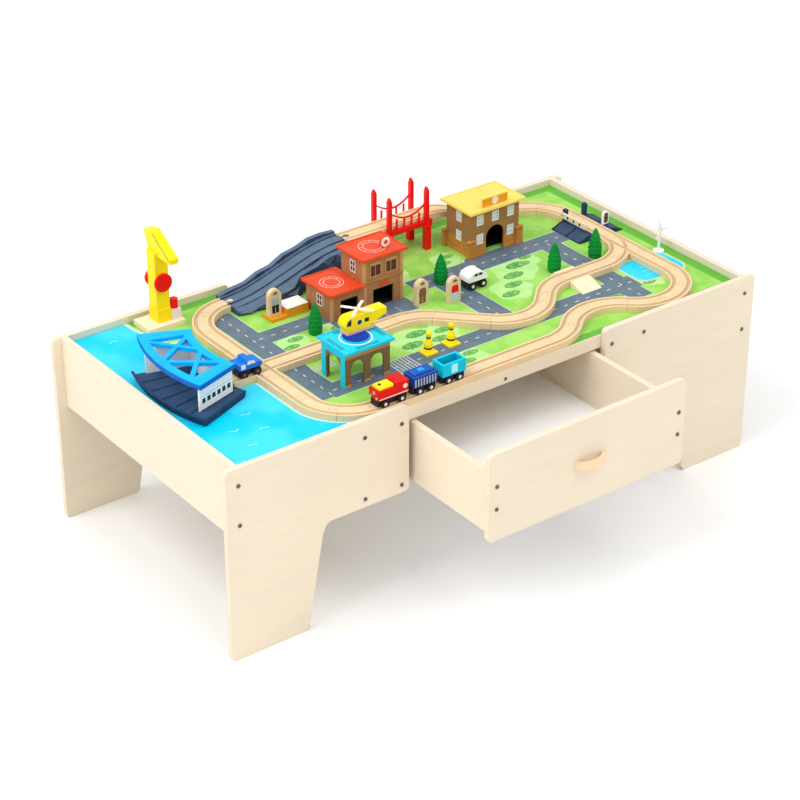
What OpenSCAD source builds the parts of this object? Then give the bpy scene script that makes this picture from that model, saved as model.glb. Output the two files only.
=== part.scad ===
// Play table for a wooden railway, with a drawer and the toys on its board.
// Millimetres, +Z up. The origin is on the floor, under the middle of the whole outline.

/* [Table] */
// Length over the leg panels
table_length = 1180; // [1060:5:1300]
// Depth over the leg panels
table_depth = 570; // [510:5:630]
// Height of the rim above the floor
table_height = 373; // [330:1:420]
// Thickness of the plywood panels
panel_thickness = 12; // [10:0.5:14]
// Inset of the end panels
end_inset = 18; // [14:1:24]
// How far the rim stands above the board
rim_rise = 13; // [10:0.5:16]
// Thickness of the board
board_thickness = 8; // [6:0.5:10]
// Width of the opening between two leg panels
opening_width = 440; // [400:5:460]
// Width of a foot on the floor
foot_width = 155; // [130:1:175]
// Width of a leg where it meets the apron
leg_top_width = 192; // [175:1:215]
// Height of the apron above the floor
apron_height = 204; // [185:1:214]
// Height of the lower edge of the end panels
end_panel_height = 235; // [210:1:260]
// Radius of the rounded panel corners
corner_radius = 9; // [5:0.5:12]
// Radius of the inside corner between leg and apron
inside_radius = 16; // [10:1:24]
// Distance of the inner cross panels from the middle
inner_cross_spot = 236; // [235:0.5:245]
// Distance of the outer cross panels from the middle
outer_cross_spot = 313; // [290:1:340]
// Height of the rails under the board
rail_height = 18; // [14:1:20]
// Width of the batten under the middle of the board
batten_width = 20; // [14:1:30]
// Width of the drawer runners
runner_width = 28; // [25:1:34]
// Height of the drawer runners
runner_height = 10; // [8:0.5:12]
// Radius of the screw heads
screw_head_radius = 3.75; // [3:0.25:4.5]
// Radius of the screw shanks
screw_radius = 2; // [1.5:0.25:2.5]
// How far a screw head stands out
screw_head_rise = 1.5; // [1:0.25:2.5]
// Distance of the upper screws below the rim
upper_screw_drop = 32; // [26:1:40]
// Distance of the lower screws above the apron edge
lower_screw_rise = 16; // [12:1:24]
// Height of the lower end screws above the panel
end_screw_rise = 30; // [20:1:40]

/* [Drawer] */
// How far the drawer stands open
drawer_open = 215; // [150:5:240]
// Gap between the drawer front and the leg panels
drawer_gap = 3; // [2:0.5:5]
// Depth of the drawer box behind its front
drawer_depth = 440; // [400:5:470]
// Gap between the drawer sides and the cross panels
drawer_side_gap = 22; // [18:1:24]
// Gap between the drawer sides and the rail above
drawer_top_gap = 4; // [2:0.5:8]
// How much lower the drawer back is than the sides
drawer_back_drop = 14; // [8:1:24]
// Thickness of the drawer bottom
drawer_bottom_thickness = 4; // [3:0.5:6]
// Rise of the drawer bottom inside the sides
drawer_bottom_rise = 6; // [4:0.5:10]
// Length of the bow handle
handle_length = 72; // [60:1:90]
// How far the bow handle stands out
handle_reach = 20; // [16:1:26]
// Thickness of the bow
handle_thickness = 8; // [6:0.5:10]
// Height of the bow
handle_height = 14; // [10:1:18]
// Spacing of the two screws in each drawer side
drawer_screw_spacing = 44; // [34:1:54]

/* [Tracks] */
// Width of the wooden track
track_width = 40; // [38:0.5:42]
// Height of the wooden track
track_height = 12; // [11:0.25:12.5]
// Width of a wheel groove
groove_width = 6.4; // [6:0.2:7]
// Depth of a wheel groove
groove_depth = 3; // [2.5:0.25:3.5]
// Spacing of the two wheel grooves
groove_gauge = 26; // [25:0.5:27]
// Middle radius of the corner curves
curve_radius = 88; // [80:1:94]
// Middle radius of the curves in the wave
wave_radius = 96; // [88:1:102]
// Gap between two pieces of track
track_gap = 0.4; // [0.3:0.1:0.6]
// Radius of a track peg
peg_radius = 5.5; // [5:0.25:6]
// Reach of a peg to its middle
peg_reach = 11; // [9:0.5:13]
// Width of the neck of a peg
neck_width = 5; // [4:0.5:6]
// Gap around a peg in its socket
peg_clearance = 0.6; // [0.4:0.1:0.8]
// Left line to the left end of the board
left_margin = 210; // [195:1:215]
// Right line to the right end of the board
right_margin = 76; // [70:1:84]
// Front line to the front edge of the board
front_margin = 21.5; // [21.2:0.1:24]
// Back line to the back edge of the board
back_margin = 55; // [45:1:62]
// Distance of the crossing behind the middle of the board
crossing_spot = -26; // [-34:1:-20]
// Half the length of the crossing along the left line
crossing_reach = 48; // [44:1:54]
// Length of the crossing arm towards the ferry
ferry_arm = 65; // [60:1:68]
// Length of the falling straight in the branch
branch_fall = 105; // [95:1:115]
// Length of the rising straight in the branch
branch_climb = 32; // [25:1:40]
// Height of the raised track above the board
track_rise = 55; // [48:1:62]
// Share of the back line taken by the mountain ramp
mountain_share = 0.398; // [0.36:0.002:0.41]
// Length of the bridge
bridge_length = 96; // [84:1:104]
// Share of the back line taken by the falling ramp
descent_share = 0.319; // [0.29:0.001:0.34]
// Width of the rock each side of the mountain track
rock_width = 11; // [9:0.5:11.5]
// Length of the ledge under the raised track
ledge_length = 8; // [6:0.5:10]
// Thickness of the bridge deck
deck_thickness = 5; // [4:0.5:7]
// Width of a bridge post
post_width = 8; // [6:0.5:9]
// Gap between a bridge post and the track
post_gap = 0.5; // [0.3:0.1:1]
// Height of the bridge posts above the board
post_height = 130; // [118:1:140]
// Width of a bridge leg below the deck
leg_width = 12; // [10:0.5:13]
// Thickness of the bridge cables
cable_width = 3; // [2.5:0.25:4]
// Lowest height of a bridge cable above the deck
cable_sag_height = 26; // [18:1:32]
// Top of a bridge cable above the deck
cable_top_height = 46; // [38:1:54]

/* [Level crossing] */
// Length of the crossing along the track
crossing_length = 84; // [74:1:90]
// Length of a ramp towards the board edge
ramp_length = 28; // [24:1:31]
// Height of a gate post
gate_post_height = 24; // [20:1:30]
// Width of a gate post
gate_post_width = 8; // [6:0.5:9]
// Length of the gate
gate_length = 68; // [58:1:70]
// Height of the gate
gate_height = 11; // [9:0.5:12]
// Thickness of the gate
gate_thickness = 4; // [3:0.5:5]
// Radius of the gate pin
gate_pin_radius = 1.5; // [1.25:0.25:2]
// Width of the signal
signal_width = 15; // [12:0.5:17]
// Height of the signal
signal_height = 28; // [24:1:32]
// Length of a wooden road ramp along the track
road_ramp_width = 46; // [40:1:52]
// Length of a wooden road ramp across the road
road_ramp_length = 38; // [32:1:42]
// Length of the wooden road ramp behind the track
back_ramp_length = 17; // [14:1:19]

/* [Buildings] */
// Thickness of the toy walls
wall = 4; // [3:0.5:5]
// Thickness of the toy roofs
roof_thickness = 4; // [3:0.5:5]
// How far the roofs overhang the walls
overhang = 7; // [5:0.5:9]
// How far the wide roofs stand out
wide_overhang = 9; // [7:0.5:11]
// Width of the high part of the fire station
fire_high_width = 88; // [80:1:94]
// Depth of the high part of the fire station
fire_high_depth = 70; // [62:1:76]
// Height of the high part of the fire station
fire_high_height = 102; // [94:1:110]
// Width of the low part of the fire station
fire_low_width = 72; // [64:1:76]
// Depth of the low part of the fire station
fire_low_depth = 80; // [72:1:84]
// Height of the low part of the fire station
fire_low_height = 53; // [48:1:58]
// Width of the garage openings
garage_width = 46; // [40:1:50]
// Height of the garage openings
garage_height = 38; // [34:1:40]
// Width of the town hall
hall_width = 116; // [108:1:122]
// Depth of the town hall
hall_depth = 76; // [70:1:80]
// Height of the town hall
hall_height = 93; // [86:1:98]
// Width of the town hall gate
hall_gate_width = 44; // [38:1:46]
// Height of the town hall gate up to its arch
hall_gate_height = 33; // [28:1:36]
// Width of a window
window_width = 16; // [13:0.5:18]
// Height of a window
window_height = 21; // [18:0.5:22]
// Depth of a blind window
window_depth = 1.5; // [1:0.25:2]
// Width of the heliport
port_width = 96; // [90:1:102]
// Depth of the heliport
port_depth = 68; // [62:1:74]
// Height of the heliport
port_height = 68; // [62:1:74]
// Width of a heliport post
port_post = 13; // [11:0.5:15]
// Radius of the landing pad
pad_radius = 24; // [20:0.5:27]
// Thickness of the landing pad
pad_thickness = 3; // [2:0.5:4]
// Length of the helicopter
heli_length = 88; // [82:1:94]
// Width of the helicopter
heli_width = 22; // [18:1:26]
// Height of the helicopter cabin
heli_height = 27; // [23:1:30]
// Radius of the helicopter rotor
heli_rotor_radius = 30; // [26:1:34]
// Width of a rotor blade
blade_width = 5; // [4:0.5:6]
// Thickness of a rotor blade
blade_thickness = 2; // [1.5:0.25:3]

/* [Harbour] */
// Gap between the crossing arm and the ferry
ferry_gap = 11; // [9:0.5:12]
// Gap between the ferry and the end panel
ferry_edge_gap = 7; // [5:0.5:9]
// Ferry middle behind the crossing arm
ferry_shift = 22; // [16:1:28]
// Outer radius of the ferry hull
ferry_outer_radius = 325; // [315:1:329]
// Height of the ferry hull
hull_height = 16; // [13:0.5:19]
// Height of the ferry deck
deck_height = 11; // [9:0.5:12]
// Flare of the ferry hull
hull_flare = 7; // [5:0.5:9]
// Thickness of the bulwark
bulwark = 4; // [3:0.5:5]
// Inset of the roof from the outer edge of the hull
roof_outer_inset = 21; // [17:1:25]
// Inset of the roof from the inner edge of the hull
roof_inner_inset = 13; // [11:1:15]
// Thickness of the ferry roof
ferry_roof_thickness = 7; // [5:0.5:9]
// Height of the ferry roof
ferry_height = 60; // [54:1:66]
// Width of the bars in the ferry roof
roof_bar = 8; // [6:0.5:9]
// Width of the crane base
crane_base_width = 76; // [72:1:80]
// Depth of the crane base
crane_base_depth = 56; // [54:1:60]
// Height of the crane base
crane_base_height = 10; // [8:0.5:12]
// Width of the crane tower
crane_width = 27; // [24:0.5:28]
// Height of the crane tower
crane_height = 188; // [176:1:196]
// How far the jib reaches beyond the tower
jib_reach = 46; // [40:1:52]
// Width of the jib
jib_width = 17; // [14:0.5:20]
// Radius of a winch wheel
winch_radius = 17.5; // [15:0.5:19]
// Thickness of a winch wheel
winch_thickness = 5; // [4:0.5:6]
// Radius of the winch shaft
winch_shaft_radius = 4; // [3:0.25:5]
// Height of the winch above the board
winch_spot = 88; // [80:1:94]
// Size of the load block
load_size = 19; // [16:0.5:19]
// Radius of the barrel on the load block
barrel_radius = 7.5; // [6.5:0.25:8]
// Height of the barrel on the load block
barrel_height = 18; // [15:0.5:21]

/* [Vehicles] */
// Radius of the wheels
wheel_radius = 8; // [7.5:0.25:8.5]
// Width of the wheels
wheel_width = 5; // [4.5:0.25:5.5]
// Radius of the axles
axle_radius = 2; // [1.75:0.25:2.5]
// Running clearance around the axles
axle_clearance = 0.1; // [0.05:0.01:0.1]
// Width of the vehicles
vehicle_width = 30; // [28:0.5:32]
// Length of the engine
engine_length = 61; // [57:1:64]
// Height of the engine above its wheels
engine_height = 23; // [21:1:26]
// Length of a wagon
wagon_length = 50; // [47:1:54]
// Height of the wagons above their wheels
wagon_height = 23; // [20:1:26]
// Gap between two rail vehicles
coupling_gap = 12; // [10:0.5:13]
// Radius of a coupling
coupling_radius = 3; // [2.5:0.25:3.5]
// Axles to the ends of a rail vehicle
axle_inset = 13; // [11.5:0.5:14.5]
// First axle past the start of the front straight
train_lead = 6.2; // [5:0.1:8]
// Axles to the ends of a road vehicle
road_axle_inset = 9.5; // [9:0.5:11]
// Length of the truck
truck_length = 46; // [43:1:49]
// Height of the truck above its wheels
truck_height = 16; // [14:0.5:18]
// Gap between the truck and the left line
truck_gap = 4; // [3:0.5:6]
// Length of the car
car_length = 44; // [41:1:47]
// Height of the car above its wheels
car_height = 18; // [16:0.5:20]

/* [Scenery] */
// Height of the trees
tree_height = 60; // [54:1:66]
// Radius of the trees
tree_radius = 13; // [11:0.5:14]
// Width of a figure
figure_width = 27; // [23:0.5:29]
// Height of a figure
figure_height = 52; // [46:1:58]
// Thickness of a figure
figure_thickness = 10; // [8:0.5:12]
// Height of the traffic cones
cone_height = 43; // [38:1:48]
// Radius of the traffic cones
cone_radius = 9; // [8:0.5:10]
// Length of the platform
platform_length = 80; // [72:1:84]
// Depth of the platform
platform_depth = 34; // [30:1:38]
// Height of the platform
platform_height = 18; // [15:0.5:21]
// Height of the step beside the platform
step_height = 6; // [5:0.5:8]
// Height of the wind turbine mast
turbine_height = 46; // [40:1:52]
// Radius of the wind turbine foot
turbine_foot_radius = 11; // [9:0.5:12]
// Radius of the wind turbine rotor
turbine_rotor_radius = 22; // [18:0.5:25]

/* [Fits] */
// How far every cut runs past the face it opens
overrun = 1; // [0.8:0.1:1.2]
// Gap between pieces that move past each other
seat_gap = 0.3; // [0.3:0.05:0.4]
// Gap around a screw, and overlap of two shapes of one piece
hair = 0.1; // [0.1:0.01:0.15]

/* [Hidden] */
$fn = 48;

// Table frame
half_length = table_length / 2;
half_depth = table_depth / 2;
inner_half_depth = half_depth - panel_thickness;
board_half_x = half_length - end_inset - panel_thickness;
board_half_y = inner_half_depth;
board_top = table_height - rim_rise;
board_under = board_top - board_thickness;
panel_width = (table_length - opening_width) / 2;
apron_rise = table_height - apron_height;
rail_under = board_under - rail_height;
inner_cross_face = inner_cross_spot - panel_thickness / 2;
upper_screw_z = table_height - upper_screw_drop;
lower_screw_z = apron_height + lower_screw_rise;
end_screw_x = half_length - end_inset - panel_thickness / 2;
panel_screws = [
  [end_screw_x, upper_screw_z],
  [end_screw_x, end_panel_height + end_screw_rise],
  [outer_cross_spot, upper_screw_z],
  [outer_cross_spot, lower_screw_z],
  [inner_cross_spot, upper_screw_z],
  [inner_cross_spot, lower_screw_z]
];
screw_length = panel_thickness - overrun;

// Drawer
drawer_face_y = -half_depth - drawer_open;
drawer_box_y = drawer_face_y + panel_thickness;
drawer_half_width = opening_width / 2 - drawer_gap;
drawer_side_x = inner_cross_face - drawer_side_gap;
drawer_inside_x = drawer_side_x - panel_thickness;
runner_top = apron_height + runner_height;
drawer_under = runner_top + seat_gap;
drawer_top = rail_under - drawer_top_gap;
drawer_floor = drawer_under + drawer_bottom_rise;
drawer_front_top = table_height - seat_gap;
drawer_mid_z = (apron_height + table_height) / 2;
drawer_screw_x = drawer_side_x - panel_thickness / 2;
handle_bow_radius = (handle_length * handle_length / 4 + handle_reach * handle_reach) / (2 * handle_reach);

// The whole outline is centred, drawer and handle included
front_reach = half_depth + drawer_open + handle_reach;
frame_shift = (front_reach - half_depth - screw_head_rise) / 2;

// Railway lines
left_line = left_margin - board_half_x;
right_line = board_half_x - right_margin;
front_line = front_margin - board_half_y;
back_line = board_half_y - back_margin;
line_start_x = left_line + curve_radius;
line_end_x = right_line - curve_radius;
line_start_y = front_line + curve_radius;
line_end_y = back_line - curve_radius;
turn = 45;
lead_turn = 30;
wave_start_x = line_end_x - 4 * wave_radius * sin(turn);
branch_y = crossing_spot;
branch_exit_y = branch_y - (branch_fall - branch_climb) * sin(turn);
merge_y = branch_exit_y + curve_radius;
branch_start_x = left_line + crossing_reach;
curve_run = curve_radius * sin(turn);
curve_lift = curve_radius * (1 - cos(turn));
branch_straight_share = 0.715;
branch_free = line_end_x - branch_start_x - 4 * curve_run - (branch_fall + branch_climb) * sin(turn);
branch_first = branch_free * branch_straight_share;
branch_last = branch_free - branch_first;
fall_x = branch_start_x + branch_first;
dip_x = fall_x + curve_run + branch_fall * sin(turn);
dip_y = branch_y - curve_lift - branch_fall * sin(turn);
climb_x = dip_x + 2 * curve_run;
flat_x = climb_x + branch_climb * sin(turn) + curve_run;
mountain_length = (line_end_x - line_start_x) * mountain_share;
descent_length = (line_end_x - line_start_x) * descent_share;
mountain_end = line_start_x + mountain_length;
descent_start = line_end_x - descent_length;
bridge_start = descent_start - bridge_length;
bridge_mid = bridge_start + bridge_length / 2;
high_length = bridge_start - mountain_end;
high_top = track_rise + track_height;
mountain_width = track_width + 2 * rock_width;
post_y = track_width / 2 + post_gap + post_width / 2;
slope_steps = 20;

// Level crossing on the right line
gate_mid_y = (merge_y + line_end_y) / 2;
ramp_edge = track_width / 2 + seat_gap;
gate_post_x = right_line - ramp_edge - gate_post_width;
gate_arm_x = gate_post_x - seat_gap - gate_thickness;
gate_hinge_y = gate_mid_y + (crossing_length - gate_post_width) / 2;
gate_hinge_z = track_height + gate_post_height - gate_height;
gate_pin_length = gate_thickness + 2 * seat_gap;

// Places, as shares of the half length and half depth of the board
fire_share = [-0.122, 0.193];
hall_share = [0.501, 0.527];
port_share = [-0.385, -0.462];
tree_shares = [[-0.334, 0.138], [0.205, 0.223], [0.564, -0.106], [0.745, -0.106]];
figure_shares = [[0.057, 0.066], [0.155, -0.029]];
cone_shares = [[-0.123, -0.516], [-0.030, -0.509]];
car_share = [0.277, 0.051];
turbine_share = [0.948, -0.308];
crane_share = [-0.693, 0.872];
fire_x = board_half_x * fire_share[0];
fire_y = board_half_y * fire_share[1];
hall_x = board_half_x * hall_share[0];
hall_y = board_half_y * hall_share[1];
port_x = board_half_x * port_share[0];
port_y = board_half_y * port_share[1];
port_roof_top = port_height + roof_thickness;
pad_top = port_roof_top + pad_thickness;
crane_x = board_half_x * crane_share[0];
crane_y = board_half_y * crane_share[1];
crane_face = crane_width / 2;
platform_spot = [fire_x - fire_low_width - overhang - platform_length / 2 - 2 * seat_gap,
  fire_y + fire_low_depth];
ferry_x = ferry_outer_radius + ferry_edge_gap - board_half_x;
ferry_inner_radius = ferry_x - left_line + ferry_arm + ferry_gap;
roof_outer_radius = ferry_outer_radius - roof_outer_inset;
roof_inner_radius = ferry_inner_radius + roof_inner_inset;
ferry_y = branch_y + ferry_shift;
hull_half_angle = 19.2;
hull_turn = 2.8;
roof_half_angle = 21;
roof_turn = -2.5;
wall_half_angle = 16.3;
wall_turn = 0.7;

// Vehicles on the front line and on the roads
rail_axle_z = track_height - groove_depth + seat_gap + wheel_radius;
road_axle_z = wheel_radius + seat_gap;
wheel_gap = seat_gap * 2;
body_rise = wheel_radius + wheel_gap * 2;
chassis_width = groove_gauge - wheel_width - 2 * wheel_gap;
chassis_drop = axle_radius * 2;
engine_x = line_start_x + train_lead - axle_inset;
box_wagon_x = engine_x + engine_length + coupling_gap;
open_wagon_x = box_wagon_x + wagon_length + coupling_gap;
truck_x = left_line - truck_gap - truck_length;
car_x = board_half_x * car_share[0] - car_length / 2;
car_y = board_half_y * car_share[1];

// Helicopter on the pad
heli_shift_shares = [1.1, 0.7];
heli_x = port_x + pad_radius * heli_shift_shares[0];
heli_y = port_y + pad_radius * heli_shift_shares[1];
hub_share = 0.12;
hub_x = heli_x - heli_length * hub_share;
skid_height_share = 0.22;
heli_belly = pad_top + heli_height * skid_height_share;
heli_roof = heli_belly + heli_height;
mast_height_share = 0.25;
rotor_z = heli_roof + heli_height * mast_height_share;
rotor_pin_radius = blade_width / 4;

// Wind turbine
turbine_x = board_half_x * turbine_share[0];
turbine_y = board_half_y * turbine_share[1];
turbine_mast_radius = turbine_foot_radius / 4;
head_share = 0.8;
turbine_head_depth = turbine_foot_radius * head_share;
turbine_pin_radius = turbine_mast_radius / 2;

// Which sub-part is drawn

// Moves the model so that its outline is centred on the origin
module placed() {
  translate([0, frame_shift, 0]) children();
}

// Places a toy on the board
module on_board(spot) {
  translate([spot[0], spot[1] + frame_shift, board_top]) children();
}

// A box centred on X and Y, standing on Z = 0
module block(size) {
  translate([-size[0] / 2, -size[1] / 2, 0]) cube(size);
}

// The waste outside a rounded corner at the origin
module corner_waste(radius) {
  difference() {
    translate([-overrun, -overrun]) square(radius + overrun);
    translate([radius, radius]) circle(radius);
  }
}

// Leg panels

module leg_outline() {
  leg_slope = (leg_top_width - foot_width) / apron_height;
  difference() {
    union() {
      polygon([[0, 0], [foot_width, 0], [leg_top_width, apron_height], [0, apron_height]]);
      translate([0, apron_height - hair]) square([panel_width, apron_rise + hair]);
      difference() {
        translate([leg_top_width - inside_radius * leg_slope, apron_height - inside_radius])
          square([inside_radius * (1 + leg_slope), inside_radius]);
        translate([leg_top_width + inside_radius, apron_height - inside_radius])
          circle(inside_radius);
      }
    }
    corner_waste(corner_radius);
    translate([foot_width, 0]) mirror([1, 0]) corner_waste(corner_radius);
    translate([0, table_height]) mirror([0, 1]) corner_waste(corner_radius);
    translate([panel_width, table_height]) rotate(180) corner_waste(corner_radius);
    translate([panel_width, apron_height]) mirror([1, 0]) corner_waste(corner_radius);
    for (spot = panel_screws)
      translate([half_length - spot[0], spot[1]]) circle(screw_radius + hair);
  }
}

module leg_panel() {
  color("BurlyWood")
    translate([-half_length, -inner_half_depth, 0])
      rotate([90, 0, 0]) linear_extrude(panel_thickness) leg_outline();
}

module front_left_leg() {
  placed() leg_panel();
}

module front_right_leg() {
  placed() mirror([1, 0, 0]) leg_panel();
}

module back_left_leg() {
  placed() mirror([0, 1, 0]) leg_panel();
}

module back_right_leg() {
  placed() mirror([1, 0, 0]) mirror([0, 1, 0]) leg_panel();
}

// Panels and rails between the leg panels

module end_panels() {
  color("BurlyWood") placed()
    for (side = [0, 1])
      mirror([side, 0, 0])
        translate([-half_length + end_inset, -inner_half_depth, end_panel_height])
          cube([panel_thickness, 2 * inner_half_depth, table_height - end_panel_height]);
}

module cross_panels() {
  color("BurlyWood") placed()
    for (spot = [inner_cross_spot, outer_cross_spot], side = [-1, 1])
      translate([side * spot - panel_thickness / 2, -inner_half_depth, apron_height])
        cube([panel_thickness, 2 * inner_half_depth, board_under - apron_height]);
}

module support_rails() {
  color("BurlyWood") placed() {
    difference() {
      for (side = [0, 1])
        mirror([0, side, 0])
          translate([-inner_cross_face, -inner_half_depth, rail_under])
            cube([2 * inner_cross_face, panel_thickness, rail_height]);
      for (side = [-1, 1])
        translate([0, side * (inner_half_depth + overrun), rail_under + rail_height / 2])
          rotate([side * 90, 0, 0])
            cylinder(h = screw_length + overrun, r = screw_head_radius + hair);
    }
    translate([0, 0, rail_under])
      block([batten_width, 2 * (inner_half_depth - panel_thickness - hair), rail_height]);
    for (side = [0, 1])
      mirror([side, 0, 0])
        translate([-inner_cross_face, -inner_half_depth + panel_thickness, apron_height])
          cube([runner_width, 2 * (inner_half_depth - panel_thickness), runner_height]);
  }
}

module play_board() {
  color("LimeGreen") placed()
    translate([0, 0, board_under])
      block([2 * (board_half_x - seat_gap), 2 * (board_half_y - seat_gap), board_thickness]);
}

// A screw with its head on the face at Y = 0 and its shank along +Y
module face_screw() {
  rotate([90, 0, 0]) cylinder(h = screw_head_rise, r = screw_head_radius);
  rotate([-90, 0, 0]) cylinder(h = screw_length, r = screw_radius);
}

module frame_screws() {
  color("DimGray") placed() {
    for (spot = panel_screws, side_x = [0, 1], side_y = [0, 1])
      mirror([side_x, 0, 0]) mirror([0, side_y, 0])
        translate([-spot[0], -half_depth, spot[1]]) face_screw();
    for (side = [0, 1])
      mirror([0, side, 0])
        translate([0, -inner_half_depth + seat_gap, rail_under + rail_height / 2])
          rotate([-90, 0, 0]) cylinder(h = screw_length - seat_gap, r = screw_head_radius);
  }
}

// Drawer

module drawer_front_outline() {
  difference() {
    translate([-drawer_half_width, apron_height])
      square([2 * drawer_half_width, drawer_front_top - apron_height]);
    for (side = [0, 1])
      mirror([side, 0]) {
        translate([-drawer_half_width, apron_height]) corner_waste(corner_radius);
        translate([-drawer_half_width, drawer_front_top]) mirror([0, 1])
          corner_waste(corner_radius);
        for (step = [-1, 1])
          translate([-drawer_screw_x, drawer_mid_z + step * drawer_screw_spacing / 2])
            circle(screw_radius + hair);
      }
  }
}

module drawer_front() {
  color("BurlyWood") placed()
    translate([0, drawer_box_y, 0])
      rotate([90, 0, 0]) linear_extrude(panel_thickness) drawer_front_outline();
}

module drawer_sides() {
  color("BurlyWood") placed()
    for (side = [0, 1])
      mirror([side, 0, 0])
        translate([-drawer_side_x, drawer_box_y, drawer_under])
          cube([panel_thickness, drawer_depth, drawer_top - drawer_under]);
}

module drawer_back() {
  color("BurlyWood") placed()
    translate([0, drawer_box_y + drawer_depth - panel_thickness / 2, drawer_under])
      block([2 * drawer_inside_x, panel_thickness, drawer_top - drawer_under - drawer_back_drop]);
}

module drawer_bottom() {
  color("WhiteSmoke") placed()
    translate([-drawer_inside_x, drawer_box_y, drawer_floor])
      cube([2 * drawer_inside_x, drawer_depth - panel_thickness, drawer_bottom_thickness]);
}

module drawer_handle() {
  bow_y = drawer_face_y - handle_reach + handle_bow_radius;
  color("Tan") placed()
    translate([0, 0, drawer_mid_z - handle_height / 2])
      difference() {
        translate([0, bow_y, 0]) cylinder(h = handle_height, r = handle_bow_radius, $fn = 96);
        translate([0, bow_y, -overrun])
          cylinder(h = handle_height + 2 * overrun, r = handle_bow_radius - handle_thickness,
            $fn = 96);
        translate([-handle_bow_radius - overrun, drawer_face_y, -overrun])
          cube([2 * (handle_bow_radius + overrun), 2 * handle_bow_radius,
            handle_height + 2 * overrun]);
      }
}

module drawer_screws() {
  color("DimGray") placed()
    for (side = [-1, 1], step = [-1, 1])
      translate([side * drawer_screw_x, drawer_face_y, drawer_mid_z + step * drawer_screw_spacing / 2])
        face_screw();
}

// Wooden track, laid along +X from the origin with its underside on Z = 0

module joint_outline(grow) {
  translate([-peg_reach, 0]) circle(peg_radius + grow);
  translate([-peg_reach, -neck_width / 2 - grow])
    square([peg_reach + 2 * track_gap, neck_width + 2 * grow]);
}

module peg() {
  linear_extrude(track_height) joint_outline(0);
}

module socket() {
  translate([0, 0, -overrun]) linear_extrude(2 * track_height) joint_outline(peg_clearance);
}

module bar_section() {
  translate([-track_width / 2, 0]) square([track_width, track_height]);
}

module groove_section() {
  for (side = [-1, 1])
    translate([side * groove_gauge / 2 - groove_width / 2, track_height - groove_depth])
      square([groove_width, groove_depth + overrun]);
}

module along(length) {
  rotate([90, 0, 90]) linear_extrude(length) children();
}

module around(radius, angle) {
  translate([0, radius, 0]) rotate([0, 0, -90])
    rotate_extrude(angle = angle, $fn = 128) translate([radius, 0]) children();
}

module straight_track(length) {
  difference() {
    union() {
      translate([track_gap / 2, 0, 0]) along(length - track_gap) bar_section();
      peg();
    }
    translate([-peg_reach - peg_radius - overrun, 0, 0])
      along(length + peg_reach + peg_radius + 2 * overrun) groove_section();
    translate([length, 0, 0]) socket();
  }
}

module track_run(length, count) {
  for (index = [0 : count - 1])
    translate([index * length / count, 0, 0]) straight_track(length / count);
}

// A left-hand curve with a peg at its start and a socket at its end
module left_curve(radius, angle = turn) {
  end_gap_turn = track_gap / radius * 180 / PI;
  difference() {
    union() {
      translate([0, radius, 0]) rotate([0, 0, -90 + end_gap_turn / 2])
        rotate_extrude(angle = angle - end_gap_turn, $fn = 128)
          translate([radius, 0]) difference() {
            bar_section();
            groove_section();
          }
      peg();
    }
    translate([radius * sin(angle), radius * (1 - cos(angle)), 0]) rotate([0, 0, angle]) socket();
  }
}

module right_curve(radius) {
  mirror([0, 1, 0]) left_curve(radius);
}

// Two left-hand curves in a row
module left_corner(radius) {
  left_curve(radius);
  translate([radius * sin(turn), radius * (1 - cos(turn)), 0]) rotate([0, 0, turn]) left_curve(radius);
}

module right_corner(radius) {
  mirror([0, 1, 0]) left_corner(radius);
}

module straight_tracks() {
  color("Wheat") {
    on_board([line_start_x, front_line]) track_run(wave_start_x - line_start_x, 4);
    on_board([right_line, line_start_y]) rotate(90) track_run(branch_exit_y - line_start_y, 1);
    on_board([right_line, merge_y]) rotate(90) track_run(line_end_y - merge_y, 1);
    on_board([left_line, line_end_y]) rotate(-90)
      track_run(line_end_y - crossing_spot - crossing_reach, 1);
    on_board([left_line, crossing_spot - crossing_reach]) rotate(-90)
      track_run(crossing_spot - crossing_reach - line_start_y, 1);
    on_board([branch_start_x, branch_y]) track_run(branch_first, 2);
    on_board([fall_x + curve_run, branch_y - curve_lift]) rotate(-turn) track_run(branch_fall, 1);
    on_board([climb_x, dip_y]) rotate(turn) track_run(branch_climb, 1);
    on_board([flat_x, branch_exit_y]) track_run(branch_last, 1);
  }
}

module curved_tracks() {
  wave_run = wave_radius * sin(turn);
  wave_lift = wave_radius * (1 - cos(turn));
  color("Wheat") {
    on_board([wave_start_x, front_line]) left_curve(wave_radius);
    on_board([wave_start_x + wave_run, front_line + wave_lift]) rotate(turn) right_corner(wave_radius);
    on_board([wave_start_x + 3 * wave_run, front_line + wave_lift]) rotate(-turn)
      left_curve(wave_radius);
    on_board([line_end_x, front_line]) left_corner(curve_radius);
    on_board([right_line, line_end_y]) rotate(90) left_corner(curve_radius);
    on_board([line_start_x, back_line]) rotate(180) left_corner(curve_radius);
    on_board([left_line, line_start_y]) rotate(-90) left_corner(curve_radius);
    on_board([fall_x, branch_y]) right_curve(curve_radius);
    on_board([dip_x, dip_y]) rotate(-turn) left_corner(curve_radius);
    on_board([flat_x - curve_run, branch_exit_y - curve_lift]) rotate(turn) right_curve(curve_radius);
    on_board([line_end_x, branch_exit_y]) left_curve(curve_radius, lead_turn);
  }
}

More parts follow.
